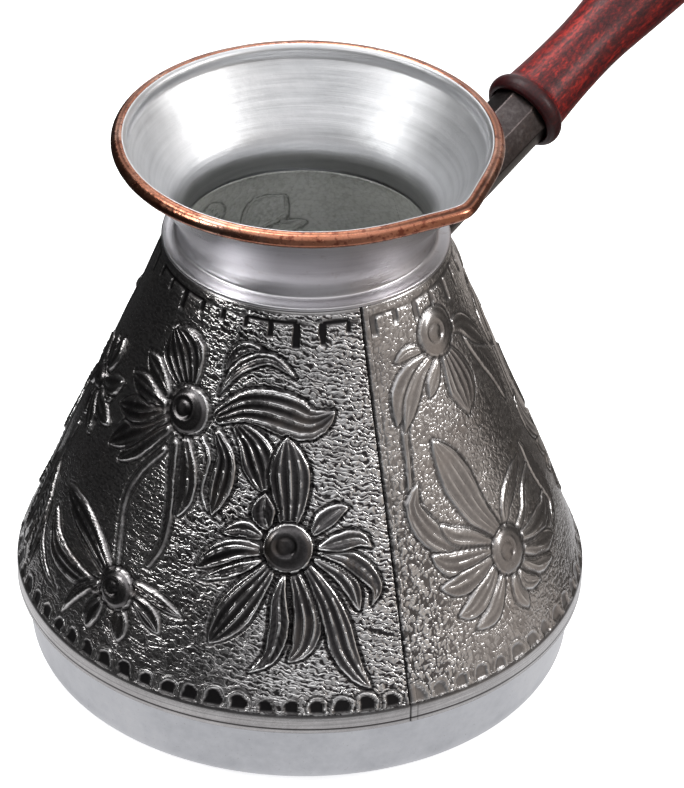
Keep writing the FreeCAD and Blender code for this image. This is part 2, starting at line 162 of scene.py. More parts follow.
# ==================================================== embossing of the body
# Bosses: sheet, radius, (azimuth, height).  Petals: sheet, kind, half width,
# centre line as (azimuth, height), drawn in this order.
BOSSES = [
    ('F', 4.6, (-177.3, 66.9)),
    ('F', 4.7, (-143.0, 47.3)),
    ('F', 4.0, (-184.0, 32.2)),
    ('S', 4.7, (-85.9, 78.6)),
    ('S', 4.7, (-84.2, 36.8)),
]
PETALS = [
    ('F', 'leaf', 0.55, [(-202.4, 24.1), (-210.7, 25.5), (-216.8, 28.8), (-218.3, 34.0)]),
    ('F', 'petal', 1.9, [(-188.8, 30.3), (-198.6, 29.7), (-208.4, 30.6), (-214.5, 35.3)]),
    ('F', 'petal', 2.2, [(-187.0, 33.9), (-194.5, 37.0), (-203.7, 39.3), (-213.1, 40.7)]),
    ('F', 'leaf', 1.1, [(-181.4, 34.8), (-173.0, 33.6), (-166.5, 32.2)]),
    ('F', 'petal', 1.5, [(-187.0, 29.3), (-189.0, 26.0), (-189.2, 23.0)]),
    ('F', 'petal', 1.5, [(-182.6, 29.9), (-181.1, 27.6), (-180.1, 23.8)]),
    ('F', 'petal', 1.5, [(-179.3, 32.4), (-174.6, 30.8), (-170.9, 28.1)]),
    ('F', 'leaf', 1.0, [(-188.4, 31.9), (-192.4, 29.6), (-195.9, 26.2), (-198.1, 21.8)]),
    ('F', 'stem', 0.75, [(-182.1, 58.7), (-187.5, 53.3), (-189.7, 47.7), (-187.9, 41.3), (-185.4, 35.5)]),
    ('F', 'stem', 1.0, [(-178.9, 60.5), (-177.4, 56.1), (-175.4, 50.2), (-175.0, 43.5), (-177.5, 38.8)]),
    ('F', 'petal', 1.6, [(-175.7, 62.2), (-172.7, 57.5), (-171.7, 52.7), (-172.6, 48.9)]),
    ('F', 'stem', 0.6, [(-170.4, 63.3), (-166.9, 60.3), (-167.5, 55.2), (-165.4, 52.0), (-160.9, 50.5)]),
    ('F', 'petal', 1.5, [(-182.7, 62.3), (-189.2, 58.1), (-196.7, 52.4)]),
    ('F', 'petal', 2.1, [(-185.1, 63.7), (-193.8, 59.5), (-203.0, 53.4)]),
    ('F', 'petal', 2.0, [(-186.0, 64.9), (-194.5, 62.4), (-204.7, 60.5)]),
    ('F', 'leaf', 1.2, [(-209.8, 60.9), (-216.7, 54.7), (-216.1, 49.9)]),
    ('F', 'petal', 1.6, [(-186.8, 66.0), (-194.4, 66.4), (-204.3, 66.9)]),
    ('F', 'petal', 1.5, [(-186.4, 67.9), (-191.7, 69.9), (-200.7, 72.0)]),
    ('F', 'petal', 3.9, [(-179.7, 70.7), (-183.0, 73.7), (-186.5, 76.5), (-191.6, 79.1)]),
    ('F', 'leaf', 1.25, [(-167.0, 75.0), (-164.9, 78.2), (-160.6, 80.2), (-153.6, 80.3)]),
    ('F', 'leaf', 1.05, [(-168.1, 71.3), (-164.0, 75.7), (-157.9, 78.4), (-151.8, 79.2), (-146.5, 77.9), (-142.4, 76.3)]),
    ('F', 'petal', 2.6, [(-159.3, 66.8), (-154.7, 64.5), (-152.0, 61.2), (-150.0, 56.5)]),
    ('F', 'petal', 1.8, [(-165.5, 64.7), (-161.9, 61.0), (-162.3, 55.8), (-163.3, 51.1)]),
    ('F', 'bigpetal', 3.3, [(-165.9, 68.0), (-158.8, 70.4), (-151.8, 70.8), (-144.7, 69.9), (-138.8, 68.7), (-134.4, 69.1), (-130.2, 70.5)]),
    ('F', 'petal', 2.9, [(-143.2, 50.7), (-142.9, 54.8), (-143.2, 59.3), (-144.5, 66.0)]),
    ('F', 'leaf', 1.9, [(-147.9, 50.1), (-149.7, 52.7), (-149.7, 56.3)]),
    ('F', 'leaf', 1.4, [(-148.8, 48.7), (-154.0, 49.7), (-160.0, 48.6)]),
    ('F', 'petal', 1.7, [(-149.0, 46.6), (-155.4, 46.3), (-161.1, 44.1), (-165.1, 41.6)]),
    ('F', 'petal', 2.6, [(-147.3, 43.6), (-151.9, 38.7), (-155.8, 33.7), (-159.1, 29.3)]),
    ('F', 'leaf', 1.0, [(-148.4, 45.2), (-153.0, 43.5), (-158.1, 41.7), (-163.6, 39.7)]),
    ('F', 'leaf', 1.6, [(-143.5, 43.1), (-144.6, 38.6), (-144.3, 33.4), (-146.1, 28.1), (-150.2, 25.2)]),
    ('F', 'petal', 2.1, [(-141.1, 42.9), (-138.7, 38.0), (-138.0, 34.3), (-139.3, 30.1), (-142.1, 27.6)]),
    ('F', 'petal', 2.0, [(-138.1, 43.9), (-133.8, 38.7), (-131.7, 34.1), (-130.2, 29.2), (-127.6, 24.8), (-125.1, 22.4)]),
    ('F', 'petal', 1.3, [(-136.0, 45.3), (-130.8, 43.0), (-127.8, 40.1), (-126.5, 36.1)]),
    ('F', 'leaf', 1.5, [(-136.0, 46.5), (-129.7, 45.7), (-125.1, 43.3), (-122.1, 39.8), (-123.4, 36.9)]),
    ('F', 'leaf', 1.5, [(-136.0, 47.3), (-130.6, 48.2), (-125.5, 48.5), (-122.2, 46.8)]),
    ('F', 'leaf', 1.5, [(-137.4, 49.4), (-134.4, 51.9), (-130.2, 53.7), (-127.3, 54.0)]),
    ('S', 'leaf', 1.0, [(-94.0, 76.9), (-100.7, 77.7), (-107.0, 76.7)]),
    ('S', 'stem', 0.8, [(-107.3, 66.5), (-108.5, 63.8), (-108.9, 60.1), (-109.6, 56.0), (-110.2, 52.1)]),
    ('S', 'petal', 1.7, [(-94.0, 75.4), (-101.9, 74.1), (-107.1, 71.0), (-110.3, 66.3)]),
    ('S', 'petal', 1.3, [(-91.9, 75.0), (-98.4, 73.0), (-103.5, 69.6), (-107.8, 65.1)]),
    ('S', 'petal', 1.2, [(-88.8, 74.2), (-91.8, 72.1), (-96.5, 68.8)]),
    ('S', 'bigpetal', 3.4, [(-83.9, 74.4), (-81.9, 70.4), (-81.3, 66.7), (-82.6, 62.8)]),
    ('S', 'leaf', 2.3, [(-71.2, 73.8), (-63.6, 68.3), (-60.0, 63.5), (-59.9, 57.5)]),
    ('S', 'petal', 1.6, [(-79.6, 77.5), (-70.7, 76.5), (-64.0, 72.7), (-58.2, 68.4)]),
    ('S', 'bigpetal', 3.1, [(-86.5, 41.5), (-90.8, 46.4), (-93.7, 52.1), (-96.4, 57.2), (-99.5, 61.5)]),
    ('S', 'leaf', 1.5, [(-82.9, 40.6), (-80.2, 44.1), (-74.5, 46.6), (-67.5, 48.5)]),
    ('S', 'stem', 0.8, [(-78.8, 38.5), (-73.9, 40.4), (-69.7, 43.8), (-61.1, 45.7)]),
    ('S', 'leaf', 1.6, [(-63.4, 49.6), (-60.1, 42.2), (-57.6, 35.4), (-62.1, 32.2)]),
    ('S', 'petal', 1.7, [(-77.4, 36.7), (-71.2, 35.9), (-64.5, 35.9), (-61.2, 38.1)]),
    ('S', 'petal', 1.6, [(-78.3, 34.4), (-72.4, 32.4), (-64.6, 31.0)]),
    ('S', 'petal', 1.3, [(-80.4, 32.9), (-75.9, 30.1), (-68.5, 28.4)]),
    ('S', 'petal', 1.5, [(-84.3, 32.2), (-84.6, 29.3), (-83.1, 25.2)]),
    ('S', 'leaf', 1.3, [(-82.6, 32.3), (-81.2, 29.4), (-76.2, 27.4)]),
    ('S', 'petal', 1.9, [(-90.1, 39.4), (-97.2, 41.7), (-102.6, 43.9), (-107.4, 47.5), (-109.9, 51.9), (-107.4, 55.3)]),
    ('S', 'petal', 1.3, [(-89.5, 40.5), (-94.7, 42.8), (-99.9, 44.7), (-102.9, 47.2)]),
    ('S', 'petal', 1.8, [(-90.6, 38.5), (-97.0, 39.1), (-102.7, 40.0), (-107.1, 42.5)]),
    ('S', 'petal', 1.7, [(-90.6, 37.0), (-96.4, 35.9), (-101.9, 35.8), (-106.1, 36.5)]),
    ('S', 'petal', 1.8, [(-90.1, 35.3), (-93.9, 32.9), (-99.0, 30.9), (-102.9, 30.6)]),
    ('S', 'petal', 1.4, [(-88.2, 33.4), (-91.0, 30.7), (-94.1, 28.1), (-99.2, 27.1)]),
]

RELIEF = {"petal": 0.52, "bigpetal": 0.60, "leaf": 0.46, "stem": 0.40}


def spray(sheet, a0, z0, rad, reach, count, start):
    """A flower with evenly set petals, for the parts of a sheet with no other figure."""
    mm = math.degrees(1.0) / float(np.interp(z0, [c[1] for c in BODY_LINE], [c[0] for c in BODY_LINE]))
    BOSSES.append((sheet, rad, (a0, z0)))
    for k in range(count):
        t = math.radians(start + 360.0 * k / count + 9.0 * math.sin(2.3 * k))
        far = reach * (0.86 + 0.20 * math.sin(1.7 * k + 1.0))
        pts = []
        for q in (0.9 * rad, rad + 0.45 * far, rad + far):
            bend = t + 0.24 * (q - rad) / far
            pts.append((a0 + q * math.cos(bend) * mm, z0 + q * math.sin(bend) * COS_A))
        PETALS.append((sheet, "petal", 1.55, pts))


# the far half of the spout sheet carries the same two flowers again
BOSSES += [(b[0], b[1], (b[2][0] + 58.0, b[2][1])) for b in BOSSES if b[0] == "S"]
PETALS += [(q[0], q[1], q[2], [(a + 58.0, z) for a, z in q[3]]) for q in PETALS if q[0] == "S"]
spray("F", -224.0, 59.0, 2.9, 8.6, 9, 12.0)
PETALS += [("F", "leaf", 2.0, [(-217.5, 21.5), (-221.0, 30.0), (-227.5, 41.0)]),
           ("F", "leaf", 1.8, [(-229.0, 22.0), (-231.5, 31.0), (-229.5, 40.0)]),
           ("F", "stem", 0.7, [(-225.0, 48.0), (-226.5, 38.0), (-224.0, 22.0)])]


def develop(az, z, centre):
    """Place on the rolled-out sheet, in mm."""
    length = (APEX_Z - z) / COS_A
    phi = np.radians(az - centre) * SIN_A
    return np.stack([length * np.sin(phi), -length * np.cos(phi)], -1)


def petal_width(kind, t, w):
    if kind == "stem":
        return w * (1.0 - 0.35 * t)
    if kind == "leaf":
        return w * np.maximum(np.sin(np.pi * np.clip(t * 0.96 + 0.02, 0, 1)) ** 0.8, 0.12)
    body = 0.42 + 0.58 * np.sin(0.5 * np.pi * np.minimum(t / 0.62, 1.0))
    x = np.clip((t - 0.56) / 0.45, 0.0, 1.0)
    return w * body * (0.45 * np.sqrt(1.0 - x ** 2) + 0.55 * (1.0 - x ** 1.7))


def outline(old, inside):
    """Lays a new shape's edge distance over the older ones."""
    return np.where(inside > -0.45, np.minimum(inside, 2.5), np.where(old < 0, np.maximum(old, inside), old))


def emboss(az, z, sheet):
    """Height of the embossing over the plain cone, in mm, and how worked the
    place is, from 0 in the stippled ground to 1 on a petal."""
    centre = {"F": -177.3, "S": -57.3, "R": 62.7}[sheet]
    src, turn = {"F": ("F", 0.0), "S": ("S", 0.0), "R": ("F", 240.0)}[sheet]
    p = develop(az, z, centre)
    low = Waves(21.0, 9, 5)
    h = 0.16 * low(p[:, 0], p[:, 1])
    # ---- stippled ground: wavy rows of small bumps
    slant = (APEX_Z - z) / COS_A
    drift = 0.55 * Waves(17.0, 7, 11)(p[:, 0], p[:, 1]) + 0.16 * Waves(5.5, 7, 12)(p[:, 0], p[:, 1])
    v = (slant + drift) / 1.02
    row = np.floor(v)
    fv = v - row - 0.5
    arc = np.radians(az - centre) * slant * SIN_A
    shift = cell_noise(row, 0.0 * row, 3.1)
    u = (arc + 0.35 * Waves(6.0, 7, 13)(p[:, 0], p[:, 1])) / 1.22 + shift
    col = np.floor(u)
    fu = u - col - 0.5
    size = 0.45 + 0.75 * cell_noise(col, row, 1.7)
    bump = np.cos(np.pi * fv) ** 1.3 * np.cos(np.pi * fu * 0.92)
    # sharper ground towards the middle, calmer at the far and lower left; it also sets the colour contrast, where it is
    # painted light
    mid = smoothstep((az - centre + 13.0 - 13.0 * (87.0 - z) / 69.0) / 30.0) if sheet != "S" else 0.85 + 0.0 * az
    mid = mid * (1.0 - 0.55 * smoothstep((-146.0 - az) / 10.0) * smoothstep((47.0 - z) / 16.0) * (1.0 if sheet == "F" else 0.0))
    ground = (0.020 + 0.020 * mid) * size * bump
    worked = np.zeros(len(z))
    figure = np.zeros(len(z))
    sunk = np.zeros(len(z))
    rimd = np.full(len(z), -2.0)               # distance inside the nearest outline, mm
    rib = np.full(len(z), 0.5)                 # whole numbers lie on a petal's raised lines
    along = np.zeros(len(z))
    # ---- arcades under the neck and over the hem
    top = (86.9 - z) / COS_A
    bottom = (z - 18.0) / COS_A
    k = np.floor((az + 3.0) / 10.0)
    fa = (az + 3.0) / 10.0 - k - 0.5
    wobble = cell_noise(k, 0 * k, 9.0)
    arc_top = np.abs(fa) * 10.0 * np.pi / 180.0 * slant * SIN_A
    kp = np.floor((az + 8.0) / 10.0)           # the post between two neighbouring cells
    wob = cell_noise(kp, 0 * kp, 2.0)
    wav = 0.16 * Waves(2.8, 6, 15)(p[:, 0], p[:, 1])
    post = smoothstep((0.56 + 0.34 * wob + wav - (np.radians(5.0) * slant * SIN_A - arc_top)) / 0.30)
    post *= smoothstep((top - 0.9) / 0.4) * smoothstep((3.4 + 2.9 * wob - top) / 0.5)
    bar = smoothstep((0.40 + 0.30 * wobble + wav - np.abs(top - 1.25)) / 0.3) * np.where(wobble > 0.24, 1.0, 0.35)
    post = np.maximum(post, bar)
    k2 = np.floor((az + 1.0) / 5.1)
    fa2 = (az + 1.0) / 5.1 - k2 - 0.5 + 0.10 * (cell_noise(k2, 0 * k2, 4.0) - 0.5)
    half2 = np.radians(2.55) * slant * SIN_A
    big = 0.80 + 0.34 * cell_noise(k2, 0 * k2, 6.0)
    rise = np.maximum(bottom - 1.5 - 0.5 * cell_noise(k2, 0 * k2, 7.0), 0.0)
    rad2 = np.hypot(fa2 * 2.0 * half2 + 0.18 * np.sin(bottom * 2.3 + k2), rise) / big
    rad2 += 0.16 * Waves(2.6, 6, 14)(p[:, 0], p[:, 1])
    arch = np.exp(-((rad2 - 1.86) / 0.24) ** 2) * (bottom > 0.2)
    inner = smoothstep((1.60 - rad2) / 0.35) * smoothstep((bottom - 0.4) / 0.25)
    clear = (rad2 < 3.0) & (bottom > 0.3) & (cell_noise(k2, 0 * k2, 8.0) > 0.42)
    rimd = np.where(clear, np.clip(2.12 - rad2, -2.0, 0.6), rimd)
    # ---- petals, leaves and stems
    order = [("b",) + b for b in BOSSES if b[0] == src] + [("p",) + q for q in PETALS if q[0] == src]
    order = [o for o in order if o[0] == "p"] + [o for o in order if o[0] == "b"]
    for item in order:
        if item[0] == "b":
            _, _, rad, (a0, z0) = item
            c = develop(np.array([a0 + turn]), np.array([z0]), centre)[0]
            rho = np.hypot(p[:, 0] - c[0], p[:, 1] - c[1])
            near = rho < rad + 2.0
            r_ = rho[near]
            m = smoothstep((rad - r_) / 0.45)
            dome = 0.62 * smoothstep((rad - r_) / 1.1) + 0.42 * np.sqrt(np.clip(1 - (r_ / rad) ** 2, 0, 1))
            off = np.hypot(p[near, 0] - c[0] + 0.14 * rad, p[near, 1] - c[1] - 0.08 * rad)
            dome += 0.13 * np.exp(-((off - 0.50 * rad) / 0.32) ** 2) - 0.17 * np.exp(-((off - 0.36 * rad) / 0.34) ** 2)
            dome -= 0.10 * np.exp(-((r_ - 0.82 * rad) / 0.25) ** 2)
            dome -= 0.30 * np.exp(-(((p[near, 0] - c[0] - 0.4) ** 2 + (p[near, 1] - c[1] + 0.5) ** 2) / 0.55))
            figure[near] = figure[near] * (1 - m) + dome * m
            figure[near] -= 0.24 * np.exp(-((r_ - rad - 0.32) / 0.28) ** 2)
            worked[near] = np.maximum(worked[near], m)
            sunk[near] = np.maximum(sunk[near] * (1 - m), 0.9 * np.exp(-((r_ - rad - 0.30) / 0.30) ** 2))
            rimd[near] = outline(rimd[near], rad - r_)
            rib[near] = np.where(rad - r_ > -0.45, 0.5, rib[near])
            continue
        _, _, kind, w, line = item
        w = w * {"petal": 1.34, "bigpetal": 1.22, "leaf": 1.25, "stem": 1.0}[kind]
        q = np.array(line, float)
        c = develop(q[:, 0] + turn, q[:, 1], centre)
        c = catmull(c, 15)
        lo, hi = c.min(0) - w - 1.6, c.max(0) + w + 1.6
        near = np.where((p[:, 0] > lo[0]) & (p[:, 0] < hi[0]) & (p[:, 1] > lo[1]) & (p[:, 1] < hi[1]))[0]
        if not len(near):
            continue
        x = p[near]
        best = np.full(len(x), 1e9)
        tt = np.zeros(len(x))
        side = np.zeros(len(x))
        n = len(c) - 1
        for s in range(n):
            a, b = c[s], c[s + 1]
            ab = b - a
            rel = x - a
            tp = np.clip(rel @ ab / (ab @ ab), 0, 1)
            off = rel - tp[:, None] * ab
            d = np.hypot(off[:, 0], off[:, 1])
            better = d < best
            best = np.where(better, d, best)
            tt = np.where(better, (s + tp) / n, tt)
            side = np.where(better, np.sign(ab[0] * rel[:, 1] - ab[1] * rel[:, 0]), side)
        wt = petal_width(kind, tt, w)
        inside = wt - best
        m = smoothstep((inside + 0.06) / 0.30)
        body = RELIEF[kind] * smoothstep(inside / 0.55)
        body += 0.12 * np.exp(-((inside - 0.50) / 0.20) ** 2)
        vv = side * best / np.maximum(wt, 0.2)
        if kind in ("petal", "bigpetal"):
            ribs = max(2, int(round(w / 0.92)))
            phase = 0.5 * ribs * (vv + 0.12) + 0.22 * np.sin(2.6 * tt + 3.0 * c[0, 0])
            fade = smoothstep((1.0 - tt) / 0.55) * smoothstep((inside - 0.25) / 0.7)
            body += 0.13 * (np.abs(np.cos(np.pi * phase)) ** 1.5 - 0.5) * fade
            body -= 0.16 * smoothstep((0.30 - tt) / 0.30) * smoothstep(inside / 0.6)
        else:
            phase = vv if kind == "leaf" else 0.5 + 0.0 * vv
        if kind == "leaf":
            body -= 0.20 * np.exp(-(best / 0.26) ** 2) * smoothstep(inside / 0.4)
            body += 0.06 * np.cos(TAU * (tt * 13 - np.abs(vv) * 1.4)) * smoothstep(inside / 0.6)
        outside = np.exp(-((-inside - 0.22) / 0.24) ** 2) * (inside < 0.1)
        figure[near] = figure[near] * (1 - m) + body * m - 0.20 * outside * (1 - m)
        worked[near] = np.maximum(worked[near] * (1 - m), m)
        sunk[near] = np.maximum(sunk[near] * (1 - m), 0.8 * outside * (1 - m))
        over = inside > -0.45
        rib[near] = np.where(over, phase, rib[near])
        along[near] = np.where(over, tt, along[near])
        rimd[near] = outline(rimd[near], inside)
    quiet = 1.0 - np.maximum(worked, 0.0)
    posts = -0.24 * post
    arches = 0.16 * arch - 0.20 * inner
    calm = 1.0 - np.maximum(np.clip(post, 0, 1), np.clip(arch + inner, 0, 1))
    figure = figure * (0.54 if sheet == "S" else 1.0)
    h = h + figure + quiet * (ground * calm + posts + arches)
    edge = smoothstep((top - 0.25) / 0.7) * smoothstep((bottom - 0.15) / 0.5)
    # arcade hollows painted less dark on the spout sheet: partly its lighter patina, partly less painted shade
    faint = (0.45, 0.22) if sheet == "S" else (1.0, 1.0)
    sunk = np.maximum(sunk, quiet * np.maximum(post * faint[0], inner * faint[1])) * edge
    # the stippled ground's liveliness: calm on the far left, sharp in the middle; in the colour it sets how dark the
    # gaps and how bright the lines are, so it is partly painted light
    by_seam = smoothstep((-95.0 - az) / 19.0) * smoothstep((80.0 - z) / 50.0)
    lively_and_lit = {"S": 0.42 + 0.38 * by_seam}.get(sheet, 0.34 + 0.66 * mid) * calm
    return h * edge, worked, sunk, rimd, lively_and_lit, rib, along


def sheet_mesh(name, sheet, az0, az1):
    lap = 1.35                                    # lapped strip at the sheet's first edge
    deg_mm = 57.2958 / 44.0
    a_in = np.array([0.0, 0.10, 0.22, 0.36, 0.52, 0.70, 0.90, 1.10, 1.26, 1.36, 1.48, 1.66, 1.9]) * deg_mm
    cols = np.r_[az0 + 0.03 + a_in, np.linspace(az0 + 0.03 + 2.2 * deg_mm, az1 - 0.03 - 2.2 * deg_mm, COLS), (az1 - 0.03 - a_in)[::-1]]
    cone = np.array(BODY_LINE)
    zs = np.linspace(18.2, 86.9, ROWS)
    rs = np.interp(zs, cone[:, 1], cone[:, 0])
    hem = [(53.02, 14.2), (53.5, 14.2), (53.86, 14.25), (54.0, 14.45), (54.0, 15.6), (54.0, 16.8), (53.98, 17.5), (53.93, 17.9)]
    head = [(26.22, 87.3), (26.02, 87.62), (25.72, 87.86), (25.4, 87.98), (24.4, 88.0), (23.42, 88.0),
            (23.42, 87.2), (24.4, 87.2), (25.0, 87.18), (25.35, 86.85)]
    zi = np.linspace(86.2, 18.5, 56)
    ri = np.interp(zi, cone[:, 1], cone[:, 0]) - 0.92
    tail = [(53.1, 17.4), (53.15, 16.2), (53.15, 15.0), (53.02, 15.0)]
    prof = np.array(hem + list(zip(rs, zs)) + head + list(zip(ri, zi)) + tail)
    n_hem, n_out, n_head, n_in = len(hem), ROWS, len(head), 56
    R, C = len(prof), len(cols)
    az = np.repeat(cols[None, :], R, 0)
    r = np.repeat(prof[:, 0:1], C, 1)
    z = np.repeat(prof[:, 1:2], C, 1)
    height, worked, sunk, rimd, lively_and_lit, rib, along = (np.zeros((R, C)) for _ in range(7))
    rimd -= 2.0
    o = slice(n_hem, n_hem + n_out)
    found = emboss(az[o].ravel(), z[o].ravel(), sheet)
    height[o], worked[o], sunk[o], rimd[o], lively_and_lit[o], rib[o], along[o] = (q.reshape(n_out, C) for q in found)
    # first and last edge: rounded down into the joint, with a raised lap
    a = np.radians(az - az0) * r
    b = np.radians(az1 - az) * r
    seam = -0.34 * np.exp(-(a / 0.20) ** 2) - 0.34 * np.exp(-(b / 0.22) ** 2)
    seam += 0.13 * smoothstep((lap - a) / 0.16)
    line = np.maximum(np.exp(-(a / 0.17) ** 2), np.exp(-(b / 0.20) ** 2))
    line = np.maximum(line, 0.55 * np.exp(-((a - lap - 0.06) / 0.14) ** 2))
    outer_rows = np.zeros(R)
    outer_rows[:n_hem + n_out + 4] = 1.0
    quiet = np.clip(smoothstep((a - 1.2) / 0.5), 0.25, 1) * np.clip(smoothstep((b - 0.1) / 0.4), 0.2, 1)
    height *= quiet
    sunk = np.maximum(sunk * quiet, line * (np.arange(R) < n_hem + n_out + 3)[:, None])
    height += seam * outer_rows[:, None] * np.where(np.arange(R) < n_hem, 0.30, 1.0)[:, None]
    # the same pattern pressed through to the inside, softened
    i = slice(n_hem + n_out + n_head, n_hem + n_out + n_head + n_in)
    hi_, wi_, _, di_ = emboss(az[i].ravel(), z[i].ravel(), sheet)[:4]
    rimd[i] = di_.reshape(n_in, C)
    height[i] = 0.75 * (hi_.reshape(n_in, C) * np.where(wi_.reshape(n_in, C) > 0.2, 1.0, 0.35))
    # hem: slightly uneven
    hemw = Waves(26.0, 6, 41)(az * 0.9, z * 0.0)
    height[:n_hem] += 0.05 * hemw[:n_hem]
    r2 = r + height * COS_A * np.where(np.arange(R) < n_hem, 1.08, 1.0)[:, None]
    z2 = z + height * SIN_A * (np.arange(R) >= n_hem)[:, None]
    x = r2 * np.cos(np.radians(az))
    y = r2 * np.sin(np.radians(az))
    verts = np.stack([x, y, z2], -1).reshape(-1, 3)
    faces = [tuple(f) for f in grid_faces(R, C, close_rows=True)[:, ::-1]]
    # close the two cut edges, each with one face round the sheet's whole profile
    out_ids = list(range(0, n_hem + n_out + 6))
    in_ids = list(range(R - 1, n_hem + n_out + 5, -1))
    for c_, flip in ((0, False), (C - 1, True)):
        poly = [row * C + c_ for row in range(R)]
        faces.append(tuple(poly[::-1]) if flip else tuple(poly))
    soft = height.copy()
    for _ in range(2):
        for ax in (0, 1):
            soft = (soft + np.roll(soft, 1, ax) + np.roll(soft, -1, ax) + np.roll(soft, 2, ax) + np.roll(soft, -2, ax)) / 5.0
    ridge = (height - soft) * outer_rows[:, None]
    # a near-black line painted along the bend from the hem into the cone: painted shade in the crease
    sunk[n_hem - 1:n_hem + 1] = np.maximum(sunk[n_hem - 1:n_hem + 1], 0.8)
    plain = np.repeat(((np.arange(R) < n_hem) | (np.arange(R) >= n_hem + n_out)).astype(float)[:, None], C, 1)
    attrs = {"worked": worked.ravel(), "relief": height.ravel(), "ridge": ridge.ravel(),
             "sunk": sunk.ravel(), "plain": plain.ravel(), "rimd": rimd.ravel(), "lively_and_lit": lively_and_lit.ravel(),
             "rib": rib.ravel(), "along": along.ravel(),
             # per-sheet darkening, darkest on the front sheet: partly patina, partly painted shade standing in for a
             # dark reflection
             "tarnish_and_shade": np.full(R * C, {"F": 1.0, "S": 0.12, "R": 0.7}[sheet])}
    ob = add_mesh(name, verts, faces, attrs)
    flat = develop(az.ravel(), z.ravel(), {"F": -177.3, "S": -57.3, "R": 62.7}[sheet])
    dev = ob.data.attributes.new("dev", "FLOAT_VECTOR", "POINT")
    dev.data.foreach_set("vector", np.column_stack([flat, np.zeros(len(flat))]).astype(np.float32).ravel())
    inner_faces = [k for k in range((R - 1) * (C - 1)) if k // (C - 1) >= n_hem + n_out + 5]
    index = np.zeros(len(ob.data.polygons), np.int32)
    index[inner_faces] = 1
    index[(R - 1) * (C - 1):R * (C - 1)] = 1
    ob.data.polygons.foreach_set("material_index", index)
    ob.data.polygons[len(faces) - 1].use_smooth = False
    ob.data.polygons[len(faces) - 2].use_smooth = False
    return ob


COLS, ROWS = 322, 205

# ============================================================ body, pan, neck
sheets = {
    "F": sheet_mesh("sheet_front", "F", SEAMS[0], SEAMS[1]),
    "S": sheet_mesh("sheet_spout", "S", SEAMS[1], SEAMS[2]),
    "R": sheet_mesh("sheet_rear", "R", SEAMS[2], SEAMS[3]),
}
for key, node in (("F", "body_sheet_front"), ("S", "body_sheet_spout"), ("R", "body_sheet_rear")):
    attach(sheets[key], "pot")
    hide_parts(node)


def turned_mesh(name, profile, cols, shape=None, attrs=None, closed=True):
    """Closed (radius, height) outline turned about Z; shape(az, r, z) may bend it."""
    prof = np.asarray(profile, float)
    az = np.linspace(0, 360, cols, endpoint=False)
    A = np.repeat(az[None, :], len(prof), 0)
    r = np.repeat(prof[:, 0:1], cols, 1)
    z = np.repeat(prof[:, 1:2], cols, 1)
    if shape:
        r, z = shape(A, r, z)
    v = np.stack([r * np.cos(np.radians(A)), r * np.sin(np.radians(A)), z], -1).reshape(-1, 3)
    f = grid_faces(len(prof), cols, close_rows=closed, close_cols=True)
    return add_mesh(name, v, f[:, ::-1], attrs)


# ---- pan: shallow, a little uneven from the planishing hammer
def arc_pts(cx, cz, rad, a0, a1, n):
    a = np.radians(np.linspace(a0, a1, n))
    return [(cx + rad * math.cos(t), cz + rad * math.sin(t)) for t in a]


pan_out = [(0.02, 0.0)] + [(r, 0.0) for r in np.linspace(4, 44, 11)]
pan_out += arc_pts(46.5, 5.0, 5.0, -90, 2, 14)
pan_out += [(51.5 + (52.93 - 51.5) * t, 5.0 + 9.0 * t) for t in np.linspace(0.06, 1, 12)]
pan_out += [(52.93, 15.04), (53.08, 15.08), (53.10, 15.5), (53.08, 15.88), (52.93, 15.92), (52.93, 17.25)]
pan_in = [(52.0, 17.3), (51.93, 17.2), (51.93, 14.0), (51.2, 9.0), (50.5, 5.2)]
pan_in += arc_pts(46.5, 5.0, 4.0, 0, -90, 10)
pan_in += [(r, 1.0) for r in np.linspace(44, 4, 11)] + [(0.02, 1.0)]
pan_w = Waves(24.0, 10, 61, 3)
pan_f = Waves(9.0, 10, 62, 3)


def pan_shape(A, r, z):
    x, y = r * np.cos(np.radians(A)), r * np.sin(np.radians(A))
    k = np.clip((r - 40) / 8, 0, 1) * np.clip((13.6 - z) / 3.0, 0, 1) * np.clip((z - 0.3) / 2.0, 0, 1)
    d = -0.10 * (0.5 + 0.5 * pan_w(x, y, z)) - 0.03 * (0.5 + 0.5 * pan_f(x, y, z))
    return r + d * k, z


pan = turned_mesh("pan_base", pan_out + pan_in, 288, pan_shape)
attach(pan, "pot"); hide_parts("base_pan")

# ---- neck: throat, flare and foot flange in one spun sheet
line = catmull(NECK_LINE, 46)
neck_out = [(23.02, 88.03), (25.0, 88.03), (26.45, 88.03), (26.6, 88.12), (26.62, 88.4), (26.55, 88.68), (26.35, 88.80),
            (25.4, 88.86), (24.6, 88.96), (24.15, 89.12), (23.9, 89.34)] + [tuple(q) for q in line]
top_r, top_z = line[-1]
neck_out += [(top_r + 0.12, top_z + 0.15), (top_r + 0.05, top_z + 0.5)]
wrap = [(34.35 + (RIM_TUBE + 0.0) * math.cos(math.radians(t)), RIM_Z + (RIM_TUBE + 0.0) * math.sin(math.radians(t))) for t in (168, 150, 134, 121, 112)]
neck_out += [(33.0, 107.6), (33.1, 108.2), (33.35, 108.75), (33.7, 109.1), (33.85, 109.2)]
neck_out += [(r - 0.03, z) for r, z in wrap[::-1]] + [(32.80, 107.9), (32.74, 107.5), (32.64, 107.1), (32.5, 106.75)]
N_WRAP = 9
inner_line = line[::-1].copy()
inner_line[:, 0] -= 0.78
neck_in = [(r, z) for r, z in inner_line] + [(23.02, 88.8)]
neck_w = Waves(19.0, 9, 71)
neck_f = Waves(7.0, 9, 72)


